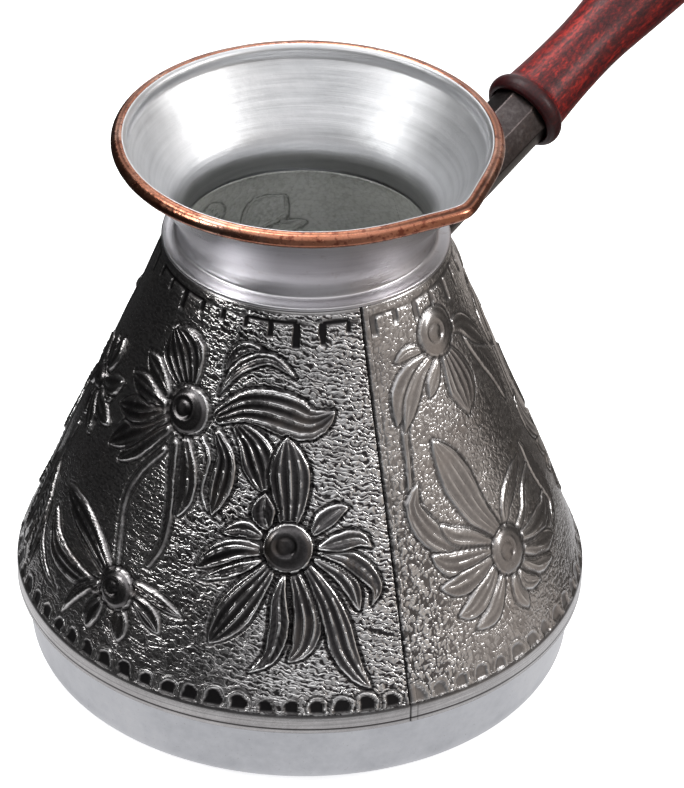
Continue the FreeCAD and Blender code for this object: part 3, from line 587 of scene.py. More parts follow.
def neck_shape(A, r, z):
    x, y = r * np.cos(np.radians(A)), r * np.sin(np.radians(A))
    k = np.clip((z - 89.5) / 3.0, 0, 1) * np.clip((106.6 - z) / 2.0, 0, 1)
    d = 0.07 * neck_w(A * 0.45, z) + 0.02 * neck_f(A * 0.45, z)
    return r + flare_lip(A, z) + d * k, z


n_in = np.r_[np.zeros(len(neck_out) - N_WRAP), np.ones(len(neck_in) + N_WRAP)]
neck = turned_mesh("neck_flare", neck_out + neck_in, 360, neck_shape, {"inner": np.repeat(n_in, 360)})
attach(neck, "pot"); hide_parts("neck_funnel")


# ---- rolled rim following the lip
def rim_mesh():
    n, m = 480, 40
    az = SPOUT_AZ + np.linspace(0, 360, n, endpoint=False)
    rad = RIM_R + flare_lip(az, RIM_Z)
    cx, cy = rad * np.cos(np.radians(az)), rad * np.sin(np.radians(az))
    c = np.stack([cx, cy], -1)
    t = np.roll(c, -1, 0) - np.roll(c, 1, 0)
    t /= np.linalg.norm(t, axis=1)[:, None]
    out = np.stack([t[:, 1], -t[:, 0]], -1)
    th = np.linspace(0, TAU, m, endpoint=False)
    d = (az - SPOUT_AZ + 180) % 360 - 180
    wob = Waves(9.0, 8, 81)(az * 0.6, az * 0.0)
    fine = Waves(2.4, 8, 82)(az * 0.6, az * 0.0)
    near_lip = np.exp(-(d / 26.0) ** 2)
    groove_at = np.radians(78 + 6 * wob - 10 * near_lip)
    verts, fold_shade, tinned = [], [], []
    for i in range(n):
        g = np.exp(-(((th - groove_at[i] + np.pi) % TAU - np.pi) / (0.20 + 0.10 * near_lip[i])) ** 2)
        under = np.exp(-(((th - np.radians(232) + np.pi) % TAU - np.pi) / 0.22) ** 2)
        rr = RIM_TUBE - 0.035 + 0.022 * wob[i] + 0.012 * fine[i] - (0.12 + 0.16 * near_lip[i] + 0.03 * fine[i]) * g - 0.22 * under
        rr = rr * (1 - 0.05 * near_lip[i])
        rr = np.minimum(rr, RIM_TUBE)
        o = out[i]
        verts.append(np.stack([c[i, 0] + o[0] * rr * np.cos(th), c[i, 1] + o[1] * rr * np.cos(th),
                               RIM_Z + rr * np.sin(th)], -1))
        # mask for the painted shade: near-black in the roll's groove, more near the lip, and along its underside
        fold_shade.append(np.clip(g * (0.5 + 0.7 * near_lip[i]) + under, 0, 1))
        edge = np.radians(113 + 5 * wob[i] + 2 * fine[i])
        tinned.append(smoothstep((th - edge) / 0.12) * smoothstep((np.radians(268) - th) / 0.2))
    return add_mesh("rim_bead", np.vstack(verts), grid_faces(n, m, True, True),
                    {"fold_shade": np.concatenate(fold_shade), "tinned": np.concatenate(tinned)})


rim = rim_mesh()
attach(rim, "pot"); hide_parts("rim_roll")


# ==================================================================== handle
def to_handle(s, u, w):
    """Point at distance s along the handle's line, u sideways, w up from it."""
    return (np.array([0, 0, HANDLE_Z0])[None, :] + s[:, None] * H_DIR + u[:, None] * H_SIDE + w[:, None] * H_UP)


def handle_turned(name, prof, cols, shape=None, close=True):
    prof = np.asarray(prof, float)                 # (distance, radius)
    th = np.linspace(0, TAU, cols, endpoint=False)
    S = np.repeat(prof[:, 0:1], cols, 1)
    R = np.repeat(prof[:, 1:2], cols, 1)
    T = np.repeat(th[None, :], len(prof), 0)
    if shape:
        S, R = shape(S, R, T)
    v = to_handle(S.ravel(), (R * np.cos(T)).ravel(), (R * np.sin(T)).ravel())
    f = grid_faces(len(prof), cols, close_rows=close, close_cols=True)
    return add_mesh(name, v, f)


GRIP_LINE = [(0.9, 8.02), (2.0, 8.18), (3.1, 7.85), (3.95, 7.05), (4.6, 6.92),
             (8.4, 6.66), (11.2, 6.52), (15.7, 6.36), (21.0, 6.30), (26.0, 6.50),
             (31.0, 6.95), (37.0, 7.55), (46.0, 8.35), (57.0, 9.10), (70.0, 9.55),
             (83.0, 9.45), (94.0, 8.75), (101.0, 7.85), (104.0, 7.20)]
bead_pts = catmull([(0.15, 7.45)] + GRIP_LINE[:4], 26)
shaft_pts = catmull(GRIP_LINE[3:], 150)
grip_prof = [(0.0, 6.62), (0.03, 7.0), (0.10, 7.3)] + [tuple(q) for q in bead_pts] + [tuple(q) for q in shaft_pts[1:]]
grip_prof += [(104.02, 6.9), (104.05, 6.52), (108.0, 6.5), (112.0, 6.5), (112.0, 4.6), (112.0, 2.8), (60.0, 2.8), (2.0, 2.8),
              (1.9, 3.2), (1.9, 5.4), (1.9, 6.62), (1.0, 6.62)]
grip_prof = [(MOUTH_S + t, r) for t, r in grip_prof]
grip_w = Waves(30.0, 6, 91)


def grip_shape(S, R, T):
    k = (R > 5.0) * np.clip((S - MOUTH_S - 5) / 8, 0, 1) * np.clip((MOUTH_S + 103 - S) / 8, 0, 1)
    return S, R - 0.05 * k * (1 + grip_w(S, T * 4))


grip = handle_turned("grip_wood", grip_prof, 120, grip_shape)
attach(grip, "grip"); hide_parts("handle_grip")


# ---- socket: rolled tube with soft flats, fillet and saddle, one skin
def cone_hit(u, w, grow):
    """Distance along the handle's line where it meets the body's cone grown
    outward by grow, for a line parallel to the handle's at offset u, w."""
    o = np.array([0, 0, HANDLE_Z0]) + u[:, None] * H_SIDE + w[:, None] * H_UP
    k = CONE_K
    apex = APEX_Z + grow / k / 1.0
    a = H_DIR[0] ** 2 + H_DIR[1] ** 2 - (k * H_DIR[2]) ** 2
    b = 2 * (o[:, 0] * H_DIR[0] + o[:, 1] * H_DIR[1] + k * k * (apex - o[:, 2]) * H_DIR[2])
    c = o[:, 0] ** 2 + o[:, 1] ** 2 - (k * (apex - o[:, 2])) ** 2
    return (-b + np.sqrt(np.maximum(b * b - 4 * a * c, 0))) / (2 * a)


def bracket_mesh():
    m = 144
    th = np.linspace(0, TAU, m, endpoint=False)
    mouth = MOUTH_S + 1.6
    flats = 8
    local = (th * flats / TAU) % 1.0 - 0.5
    poly = (math.cos(math.pi / flats) / np.cos(local * TAU / flats))
    rings = []

    def ring(rad, s, flat=1.0):
        rr = rad * (1.0 - flat * 0.85 * (1 - poly))
        rings.append(to_handle(np.broadcast_to(s, (m,)).astype(float).copy(), rr * np.cos(th), rr * np.sin(th)))

    r0, wall, top = 6.30, 1.0, MOUTH_S + 1.6
    ring(r0 - wall, np.full(m, top), 0)
    ring(r0 - 0.75, np.full(m, top + 0.0), 0)
    ring(r0 - 0.15, np.full(m, top - 0.02), 0.3)
    ring(r0, np.full(m, top - 0.18), 0.6)
    start = cone_hit((8.8) * np.cos(th), (8.8) * np.sin(th), 0.9)
    foot = cone_hit(r0 * np.cos(th), r0 * np.sin(th), 0.9) + 2.4
    for t in np.linspace(0.0, 1.0, 40):
        s = (top - 0.9) * (1 - t) + foot * t
        ring(r0 - 0.02 * math.sin(t * 9.0), s, 1.0 - 0.6 * t ** 6)
    for t in np.linspace(0.12, 1.0, 9):
        rad = r0 + 2.5 * t
        s = cone_hit(rad * np.cos(th), rad * np.sin(th), 0.9) + 2.4 * (1 - math.sqrt(max(0.0, 1 - (1 - t) ** 2)))
        ring(rad, s, 0)
    for rad, g in ((9.3, 0.88), (9.8, 0.84), (10.05, 0.72), (10.18, 0.5), (10.2, 0.25), (10.15, 0.03), (8.5, 0.02), (6.4, 0.02), (5.3, 0.02)):
        ring(rad, cone_hit(rad * np.cos(th), rad * np.sin(th), g), 0)
    for t in np.linspace(0.1, 0.95, 5):
        s0 = cone_hit(5.3 * np.cos(th), 5.3 * np.sin(th), 0.02)
        ring(5.3, s0 * (1 - t) + top * t, 0)
    v = np.vstack(rings)
    return add_mesh("socket_tube", v, grid_faces(len(rings), m, True, True)[:, ::-1])


bracket = bracket_mesh()
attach(bracket, "pot"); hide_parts("handle_bracket")


# ---- ferrule: spun cap with two rolled beads and a turned-in end
def ferrule_prof():
    p = [(104.02, 6.52), (104.0, 6.75), (104.05, 7.02), (104.25, 7.17), (104.7, 7.19), (105.15, 7.16), (105.4, 7.02), (105.6, 6.92),
         (105.85, 6.90), (109.4, 6.92), (109.6, 6.98), (109.8, 7.10), (110.2, 7.18), (110.7, 7.19), (111.3, 7.18), (111.8, 7.12),
         (112.3, 6.95), (112.6, 6.65), (112.68, 6.3), (112.7, 5.6), (112.7, 3.4), (112.7, 2.7), (112.05, 2.7), (112.02, 3.4), (112.02, 6.3),
         (111.6, 6.5), (108.0, 6.52)]
    return [(MOUTH_S + t, r) for t, r in p]


ferrule = handle_turned("ferrule_cap", ferrule_prof(), 96)
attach(ferrule, "grip"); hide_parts("end_ferrule")


# ---- hanging ring: bent wire, its two ends butted together
def ring_mesh():
    n, m = 200, 24
    a = np.linspace(0, TAU, n, endpoint=False)
    t = np.linspace(0, TAU, m, endpoint=False)
    lo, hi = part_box("hanging_ring")
    c = (np.array(lo) + np.array(hi)) / 2 / MM
    big = (hi[2] - lo[2]) / 2 / MM
    wire = (hi[0] - lo[0]) / 2 / MM
    path = big - wire
    verts = []
    for q in a:
        d = abs((q - math.radians(252) + math.pi) % TAU - math.pi) * path
        rr = wire * (0.985 - 0.22 * math.exp(-(d / 0.16) ** 2)) - 0.01 * math.sin(q * 5)
        radial = np.array([0.0, math.cos(q), math.sin(q)])
        ax = np.array([1.0, 0.0, 0.0])
        verts.append(c + radial * path + rr * (np.cos(t)[:, None] * radial + np.sin(t)[:, None] * ax))
    return add_mesh("ring_wire", np.vstack(verts), grid_faces(n, m, True, True))


ring = ring_mesh()
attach(ring, "ring"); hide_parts("hanging_ring")


# ================================================================ materials
class Mat:
    """Small helper for building a node material."""

    def __init__(self, name):
        self.m = bpy.data.materials.new(name)
        self.m.use_nodes = True
        self.t = self.m.node_tree
        self.t.nodes.clear()
        self.out = self.add("ShaderNodeOutputMaterial")
        self.b = self.add("ShaderNodeBsdfPrincipled")
        self.t.links.new(self.b.outputs[0], self.out.inputs[0])
        tc = self.add("ShaderNodeTexCoord")
        sc = self.add("ShaderNodeVectorMath", operation="SCALE")
        self.t.links.new(tc.outputs["Object"], sc.inputs[0])
        sc.inputs["Scale"].default_value = 1000.0
        self.p = sc.outputs[0]                     # place in mm

    def add(self, kind, **props):
        n = self.t.nodes.new(kind)
        for k, v in props.items():
            setattr(n, k, v)
        return n

    def put(self, socket, value):
        if isinstance(value, bpy.types.NodeSocket):
            self.t.links.new(value, socket)
        elif isinstance(value, (tuple, list)):
            v = list(value)
            if len(v) == 3 and socket.type == "RGBA":
                v = v + [1.0]
            socket.default_value = v
        else:
            socket.default_value = value

    def math(self, op, a, b=0.0, c=None, clamp=False):
        n = self.add("ShaderNodeMath", operation=op, use_clamp=clamp)
        self.put(n.inputs[0], a)
        self.put(n.inputs[1], b)
        if c is not None:
            self.put(n.inputs[2], c)
        return n.outputs[0]

    def stretch(self, x, y, z, vec=None):
        n = self.add("ShaderNodeVectorMath", operation="MULTIPLY")
        self.put(n.inputs[0], vec or self.p)
        n.inputs[1].default_value = (x, y, z)
        return n.outputs[0]

    def noise(self, scale, detail=3.0, rough=0.55, vec=None, warp=0.0):
        n = self.add("ShaderNodeTexNoise")
        self.put(n.inputs["Vector"], vec or self.p)
        n.inputs["Scale"].default_value = scale
        n.inputs["Detail"].default_value = detail
        n.inputs["Roughness"].default_value = rough
        n.inputs["Distortion"].default_value = warp
        return n.outputs[0]

    def cells(self, scale, vec=None, feature="F1", randomness=1.0):
        n = self.add("ShaderNodeTexVoronoi", feature=feature)
        self.put(n.inputs["Vector"], vec or self.p)
        n.inputs["Scale"].default_value = scale
        n.inputs["Randomness"].default_value = randomness
        return n.outputs["Distance"]

    def remap(self, v, a, b, c, d):
        n = self.add("ShaderNodeMapRange", interpolation_type="SMOOTHSTEP")
        self.put(n.inputs[0], v)
        for k, x in zip((1, 2, 3, 4), (a, b, c, d)):
            n.inputs[k].default_value = x
        return n.outputs[0]

    def ramp(self, v, stops):
        n = self.add("ShaderNodeValToRGB")
        self.put(n.inputs[0], v)
        el = n.color_ramp.elements
        while len(el) < len(stops):
            el.new(0.5)
        for e, (pos, col) in zip(el, stops):
            e.position = pos
            e.color = (*col, 1.0)
        return n.outputs[0]

    def mix(self, fac, a, b, blend="MIX"):
        n = self.add("ShaderNodeMix", data_type="RGBA", blend_type=blend)
        self.put(n.inputs[0], fac)
        self.put(n.inputs[6], a)
        self.put(n.inputs[7], b)
        return n.outputs[2]

    def attr(self, name, out="Fac"):
        n = self.add("ShaderNodeAttribute", attribute_name=name)
        return n.outputs[out]

    def bump(self, height, strength, dist_mm, normal=None):
        n = self.add("ShaderNodeBump")
        n.inputs["Strength"].default_value = strength
        n.inputs["Distance"].default_value = dist_mm * MM
        self.put(n.inputs["Height"], height)
        if normal is not None:
            self.put(n.inputs["Normal"], normal)
        return n.outputs[0]

    def radius(self):
        """Distance from the pot's axis, mm."""
        s = self.add("ShaderNodeSeparateXYZ")
        self.put(s.inputs[0], self.p)
        x2 = self.math("MULTIPLY", s.outputs[0], s.outputs[0])
        y2 = self.math("MULTIPLY", s.outputs[1], s.outputs[1])
        return self.math("SQRT", self.math("ADD", x2, y2)), s.outputs[2]

    def spun(self, fine=1.0):
        """Fine lines running round the pot's axis."""
        r, z = self.radius()
        c = self.add("ShaderNodeCombineXYZ")
        self.put(c.inputs[0], self.math("MULTIPLY", r, 5.0 * fine))
        self.put(c.inputs[1], self.math("MULTIPLY", z, 5.0 * fine))
        a = self.add("ShaderNodeVectorMath", operation="ADD")
        self.put(a.inputs[0], c.outputs[0])
        self.put(a.inputs[1], self.stretch(0.05, 0.05, 0.0))
        return a.outputs[0]

    def finish(self, **values):
        for k, v in values.items():
            self.put(self.b.inputs[k.replace("_", " ")], v)
        return self.m


def tin_pan():
    m = Mat("tinned_pan")
    cloud = m.noise(0.055, 4, 0.6)
    spot = m.noise(0.55, 5, 0.65)
    line = m.noise(1.0, 3, 0.6, m.spun(0.8))
    tone = m.math("ADD", m.math("MULTIPLY", cloud, 0.65), m.math("MULTIPLY", spot, 0.35))
    col = m.ramp(tone, [(0.30, (0.36, 0.365, 0.385)), (0.52, (0.47, 0.475, 0.495)), (0.72, (0.56, 0.56, 0.57))])
    pits = m.remap(m.noise(2.2, 2, 0.5), 0.66, 0.76, 0.0, 1.0)
    col = m.mix(m.math("MULTIPLY", pits, 0.45), col, (0.17, 0.15, 0.14))
    rough = m.math("ADD", m.math("MULTIPLY", line, 0.16), m.math("MULTIPLY_ADD", spot, 0.22, 0.16))
    n = m.bump(line, 0.22, 0.05)
    n = m.bump(m.noise(0.28, 3, 0.5), 0.35, 0.30, n)
    n = m.bump(m.noise(1.9, 4, 0.6), 0.20, 0.06, n)
    return m.finish(Base_Color=col, Metallic=1.0, Roughness=rough, Normal=n)


def tin_neck():
    m = Mat("tinned_neck")
    cloud = m.noise(0.075, 4, 0.6)
    line = m.noise(1.0, 4, 0.65, m.spun(1.0))
    broad = m.noise(1.0, 2, 0.5, m.spun(0.18))
    tone = m.math("ADD", m.math("MULTIPLY", cloud, 0.5), m.math("MULTIPLY", broad, 0.5))
    col = m.ramp(tone, [(0.30, (0.44, 0.43, 0.45)), (0.5, (0.58, 0.57, 0.59)), (0.7, (0.70, 0.69, 0.70))])
    stain = m.remap(m.noise(0.5, 5, 0.7), 0.56, 0.74, 0.0, 0.55)
    col = m.mix(stain, col, (0.26, 0.20, 0.16))
    # painted shade and painted highlight: the neck's outside is darkened on one side and lightened on the opposite
    # side, by its direction from the axis, standing in for how the light falls
    view_side = m.add("ShaderNodeVectorMath", operation="DOT_PRODUCT")
    m.put(view_side.inputs[0], m.p)
    view_side.inputs[1].default_value = (math.cos(math.radians(VIEW_TURN)), math.sin(math.radians(VIEW_TURN)), 0.0)
    painted_side_light = m.remap(view_side.outputs["Value"], -24.0, 22.0, 0.0, 1.0)
    col = m.mix(m.math("MULTIPLY", painted_side_light, 0.55), col, (0.36, 0.345, 0.355))
    col = m.mix(m.math("MULTIPLY", m.math("SUBTRACT", 1.0, painted_side_light), 0.7), col, (0.90, 0.89, 0.92))
    bright = m.ramp(tone, [(0.30, (0.44, 0.445, 0.455)), (0.5, (0.56, 0.565, 0.575)), (0.7, (0.66, 0.66, 0.67))])
    col = m.mix(m.attr("inner"), col, bright)
    rough = m.math("ADD", m.math("MULTIPLY", line, 0.18), m.math("MULTIPLY_ADD", cloud, 0.16, 0.14))
    rough = m.math("MULTIPLY_ADD", m.attr("inner"), 0.10, rough)
    n = m.bump(line, 0.34, 0.06)
    n = m.bump(broad, 0.18, 0.20, n)
    n = m.bump(m.noise(0.33, 3, 0.5), 0.22, 0.25, n)
    around = m.add("ShaderNodeTangent", direction_type="RADIAL", axis="Z")
    return m.finish(Base_Color=col, Metallic=1.0, Roughness=rough, Normal=n, Anisotropic=0.6, Tangent=around.outputs[0])


def embossed():
    m = Mat("embossed_copper")
    dev = m.attr("dev", "Vector")
    worked, ridge, sunk, plain = m.attr("worked"), m.attr("ridge"), m.attr("sunk"), m.attr("plain")
    lively_and_lit, tarnish_and_shade, along = m.attr("lively_and_lit"), m.attr("tarnish_and_shade"), m.attr("along")

    def times(*values):
        out = values[0]
        for v in values[1:]:
            out = m.math("MULTIPLY", out, v)
        return out

    warp = m.add("ShaderNodeTexNoise")
    m.put(warp.inputs["Vector"], dev)
    warp.inputs["Scale"].default_value = 0.42
    w = m.add("ShaderNodeVectorMath", operation="MULTIPLY_ADD")
    m.put(w.inputs[0], warp.outputs["Color"])
    w.inputs[1].default_value = (2.4, 2.0, 0.0)
    m.put(w.inputs[2], dev)
    # ground: rows of long, wavy punch marks on the darker sheets, rounder ones on the light one
    which = m.remap(tarnish_and_shade, 0.3, 0.6, 0.0, 1.0)
    far = m.cells(1.0, m.stretch(1.12, 1.28, 0.0, w.outputs[0]), "F1", 0.80)
    dome = m.math("SUBTRACT", 1.0, m.math("MULTIPLY", times(far, far), 2.3), clamp=True)
    place = m.add("ShaderNodeSeparateXYZ")
    m.put(place.inputs[0], w.outputs[0])
    ripple = m.math("MULTIPLY_ADD", m.noise(0.85, 2, 0.6, m.stretch(0.7, 1.0, 0.0, w.outputs[0])), 2.3, place.outputs[1])
    row = m.math("MULTIPLY_ADD", m.math("COSINE", m.math("MULTIPLY", ripple, TAU / 0.86)), 0.5, 0.5)
    row = m.math("MULTIPLY_ADD", dome, 0.42, m.math("MULTIPLY", row, 0.58))
    fine = m.cells(1.0, m.stretch(1.42, 1.50, 0.0, w.outputs[0]), "F1", 0.75)
    fine = m.math("SUBTRACT", 1.0, m.math("MULTIPLY", times(fine, fine), 2.1), clamp=True)
    dome = m.math("ADD", times(row, which), times(fine, m.math("SUBTRACT", 1.0, which)))
    ground = m.math("SUBTRACT", 1.0, m.math("MAXIMUM", worked, plain), clamp=True)
    alive = times(ground, lively_and_lit)
    stip = times(dome, alive)
    # dark gaps between the punch marks: partly patina, partly painted shade, deeper on the darker sheets and where the
    # ground is livelier
    gap = times(m.remap(dome, 0.46, 0.20, 0.0, 1.0), alive, m.math("MULTIPLY_ADD", m.math("MAXIMUM", which, m.remap(lively_and_lit, 0.44, 0.80, 0.0, 1.0)), 0.72, 0.28))
    # outlines: a raised bright line just inside each edge, a dark line outside it; the bright line is partly wear and
    # partly painted highlight, the dark one partly patina and partly painted shade, both stronger on the darker sheets
    # and where the ground is livelier
    hand = m.noise(0.42, 2, 0.5, dev)
    rimd = m.math("ADD", m.attr("rimd"), m.math("MULTIPLY_ADD", hand, 0.44, -0.22))

    def band(centre, half, soft):
        d = m.math("ABSOLUTE", m.math("SUBTRACT", rimd, centre))
        return m.remap(d, half, half + soft, 1.0, 0.0)

    strong = times(m.math("MULTIPLY_ADD", tarnish_and_shade, 0.55, 0.45), m.math("MULTIPLY_ADD", lively_and_lit, 0.86, 0.14))
    broken = m.remap(m.noise(0.30, 2, 0.5, dev), 0.36, 0.56, 0.25, 1.0)
    bead = times(band(0.30, 0.06, 0.22), broken, strong)
    ditch = times(band(-0.20, 0.14, 0.26), strong)
    # raised lines running along each petal, near-black hollows between them: the light lines are partly painted
    # highlight, the near-black partly painted shade standing in for a dark reflection
    wave = m.math("COSINE", m.math("MULTIPLY", m.attr("rib"), TAU))
    within = m.remap(rimd, 0.40, 0.62, 0.0, 1.0)
    reach = times(m.remap(along, 0.02, 0.14, 0.25, 1.0), m.remap(along, 0.84, 0.99, 1.0, 0.0))
    patchy = m.remap(m.noise(0.36, 2, 0.5, m.stretch(1.0, 1.0, 1.0, w.outputs[0])), 0.40, 0.60, 0.12, 1.0)
    lit = times(m.remap(wave, 0.45, 0.95, 0.0, 1.0), within, reach, patchy, strong)
    hollow_shade = times(m.remap(wave, 0.55, -0.7, 0.0, 1.0), within, m.remap(worked, 0.5, 0.9, 0.0, 1.0))
    cloud = m.noise(0.06, 4, 0.6)
    grit = m.noise(1.6, 5, 0.7)
    # colour: lighter on what stands up, brown-black in what lies low: partly worn tin and patina, partly painted
    # highlight and painted shade
    up = m.math("MULTIPLY_ADD", ridge, 0.7, 0.54)
    up = m.math("ADD", up, m.math("MULTIPLY", stip, 0.42))
    up = m.math("ADD", up, m.math("MULTIPLY_ADD", cloud, 0.4, -0.20))
    up = m.math("ADD", up, m.math("MULTIPLY_ADD", grit, 0.24, -0.12))
    # petals painted darker on the darker sheets: partly patina, partly painted shade
    up = m.math("SUBTRACT", up, m.math("MULTIPLY", times(worked, tarnish_and_shade), 0.22))
    up = m.math("SUBTRACT", up, m.math("MULTIPLY", times(hollow_shade, strong), 0.22))
    up = m.math("ADD", up, m.math("MULTIPLY", m.math("MAXIMUM", bead, lit), 0.74))
    up = m.math("ADD", up, m.math("MULTIPLY", plain, 0.08), clamp=True)
    col = m.ramp(up, [(0.06, (0.045, 0.042, 0.043)), (0.32, (0.16, 0.152, 0.153)), (0.58, (0.42, 0.405, 0.40)),
                      (0.80, (0.66, 0.65, 0.645)), (0.98, (0.90, 0.895, 0.89))])
    warm = m.remap(m.noise(0.11, 3, 0.55), 0.52, 0.74, 0.0, 0.22)
    col = m.mix(times(warm, m.math("SUBTRACT", 1.0, plain)), col, (0.40, 0.33, 0.28))
    col = m.mix(m.math("MULTIPLY", gap, 0.92), col, (0.030, 0.027, 0.028))
    low = m.math("MAXIMUM", sunk, m.math("MULTIPLY", ditch, 0.92))
    col = m.mix(m.math("MULTIPLY", low, 0.96), col, (0.012, 0.011, 0.012))
    # hem: brushed round, one thin scored line low down
    line = m.noise(1.0, 4, 0.65, m.spun(1.0))
    _, z = m.radius()
    score = times(m.remap(m.math("ABSOLUTE", m.math("SUBTRACT", z, 15.25)), 0.10, 0.26, 1.0, 0.0), plain)
    streak = m.remap(line, 0.36, 0.64, 0.50, 0.0)
    col = m.mix(times(streak, plain), col, (0.17, 0.165, 0.17))
    col = m.mix(m.math("MULTIPLY", score, 0.9), col, (0.02, 0.018, 0.018))
    rough = m.math("MULTIPLY_ADD", up, -0.10, 0.30)
    rough = m.math("ADD", rough, m.math("MULTIPLY_ADD", grit, 0.12, -0.06))
    rough = m.math("ADD", rough, m.math("MULTIPLY", low, 0.20))
    n = m.bump(stip, 1.0, 0.15)
    n = m.bump(m.math("SUBTRACT", m.math("MAXIMUM", bead, lit), m.math("MULTIPLY", ditch, 0.5)), 0.9, 0.17, n)
    n = m.bump(m.noise(0.9, 3, 0.55), 0.20, 0.12, n)
    n = m.bump(grit, 0.08, 0.04, n)
    n = m.bump(m.math("SUBTRACT", times(line, plain), score), 0.45, 0.06, n)
    return m.finish(Base_Color=col, Metallic=1.0, Roughness=rough, Normal=n)


def tinned_inside():
    """The sheets' inner face: wiped tin, with the pattern pressed through."""
    m = Mat("tinned_inside")
    cloud = m.noise(0.09, 4, 0.6)
    grit = m.noise(0.9, 5, 0.65)
    col = m.ramp(cloud, [(0.3, (0.82, 0.83, 0.77)), (0.55, (0.90, 0.91, 0.86)), (0.75, (0.95, 0.95, 0.91))])
    col = m.mix(m.remap(grit, 0.55, 0.75, 0.0, 0.4), col, (0.40, 0.39, 0.32))
    rimd = m.attr("rimd")
    line = m.remap(m.math("ABSOLUTE", rimd), 0.05, 0.40, 1.0, 0.0)
    inner = m.remap(m.math("ABSOLUTE", m.math("SUBTRACT", rimd, 1.1)), 0.04, 0.30, 0.6, 0.0)
    col = m.mix(m.math("MULTIPLY", line, 0.7), col, (0.24, 0.24, 0.21))
    dots = m.cells(1.0, m.stretch(1.15, 1.15, 1.15), "F1", 0.9)
    col = m.mix(m.remap(dots, 0.40, 0.80, 0.0, 0.30), col, (0.45, 0.45, 0.40))
    scratch = m.noise(1.0, 3, 0.7, m.stretch(1.3, 0.22, 0.7), 0.8)
    col = m.mix(m.remap(scratch, 0.54, 0.64, 0.0, 0.6), col, (0.98, 0.98, 0.96))
    rough = m.math("MULTIPLY_ADD", grit, 0.25, 0.25)
    n = m.bump(m.math("SUBTRACT", inner, line), 0.8, 0.25)
    n = m.bump(m.math("SUBTRACT", 1.0, dots), 0.8, 0.16, n)
    n = m.bump(grit, 0.25, 0.08, n)
    return m.finish(Base_Color=col, Metallic=0.35, Roughness=rough, Normal=n)


def rim_metal():
    m = Mat("rim_copper")
    fold_shade = m.attr("fold_shade")
    cloud = m.noise(0.10, 4, 0.6)
    spot = m.noise(1.3, 5, 0.65)
    col = m.ramp(cloud, [(0.30, (0.36, 0.145, 0.085)), (0.50, (0.44, 0.19, 0.12)), (0.70, (0.68, 0.42, 0.32))])
    col = m.mix(m.remap(m.noise(0.8, 5, 0.7), 0.50, 0.62, 0.0, 0.85), col, (0.17, 0.045, 0.028))
    col = m.mix(m.attr("tinned"), col, (0.52, 0.51, 0.50))
    # painted shade: near-black in the groove and under the roll
    col = m.mix(m.math("MULTIPLY", fold_shade, 0.92, clamp=True), col, (0.045, 0.022, 0.016))
    rough = m.math("ADD", m.math("MULTIPLY_ADD", spot, 0.26, 0.10), m.math("MULTIPLY", fold_shade, 0.25))
    n = m.bump(m.noise(0.8, 3, 0.6), 0.42, 0.14)
    n = m.bump(m.noise(4.0, 3, 0.6), 0.18, 0.03, n)
    return m.finish(Base_Color=col, Metallic=1.0, Roughness=rough, Normal=n)


def handle_coords(m, along, across):
    """Coordinates along the handle's line (x) and across it (y, z), stretched."""
    n = m.add("ShaderNodeMapping", vector_type="POINT")
    m.put(n.inputs["Vector"], m.p)
    n.inputs["Rotation"].default_value = (0.0, TILT, 0.0)
    n.inputs["Scale"].default_value = (1.0, 1.0, 1.0)
    return m.stretch(along, across, across, n.outputs[0])


def bracket_metal():
    m = Mat("dark_bracket")
    cloud = m.noise(0.12, 4, 0.6)
    spot = m.noise(1.2, 5, 0.7)
    line = m.noise(1.0, 3, 0.6, handle_coords(m, 0.12, 3.2))
    tone = m.math("ADD", m.math("MULTIPLY", cloud, 0.5), m.math("MULTIPLY", spot, 0.5))
    col = m.ramp(tone, [(0.32, (0.032, 0.026, 0.025)), (0.50, (0.056, 0.047, 0.046)), (0.68, (0.10, 0.088, 0.086))])
    rust = m.remap(m.noise(0.45, 5, 0.7), 0.56, 0.74, 0.0, 0.6)
    col = m.mix(rust, col, (0.12, 0.07, 0.05))
    rough = m.math("ADD", m.math("MULTIPLY_ADD", spot, 0.22, 0.20), m.math("MULTIPLY", line, 0.12))
    n = m.bump(line, 0.25, 0.05)
    n = m.bump(m.noise(0.5, 4, 0.6), 0.30, 0.18, n)
    n = m.bump(spot, 0.15, 0.05, n)
    return m.finish(Base_Color=col, Metallic=1.0, Roughness=rough, Normal=n)


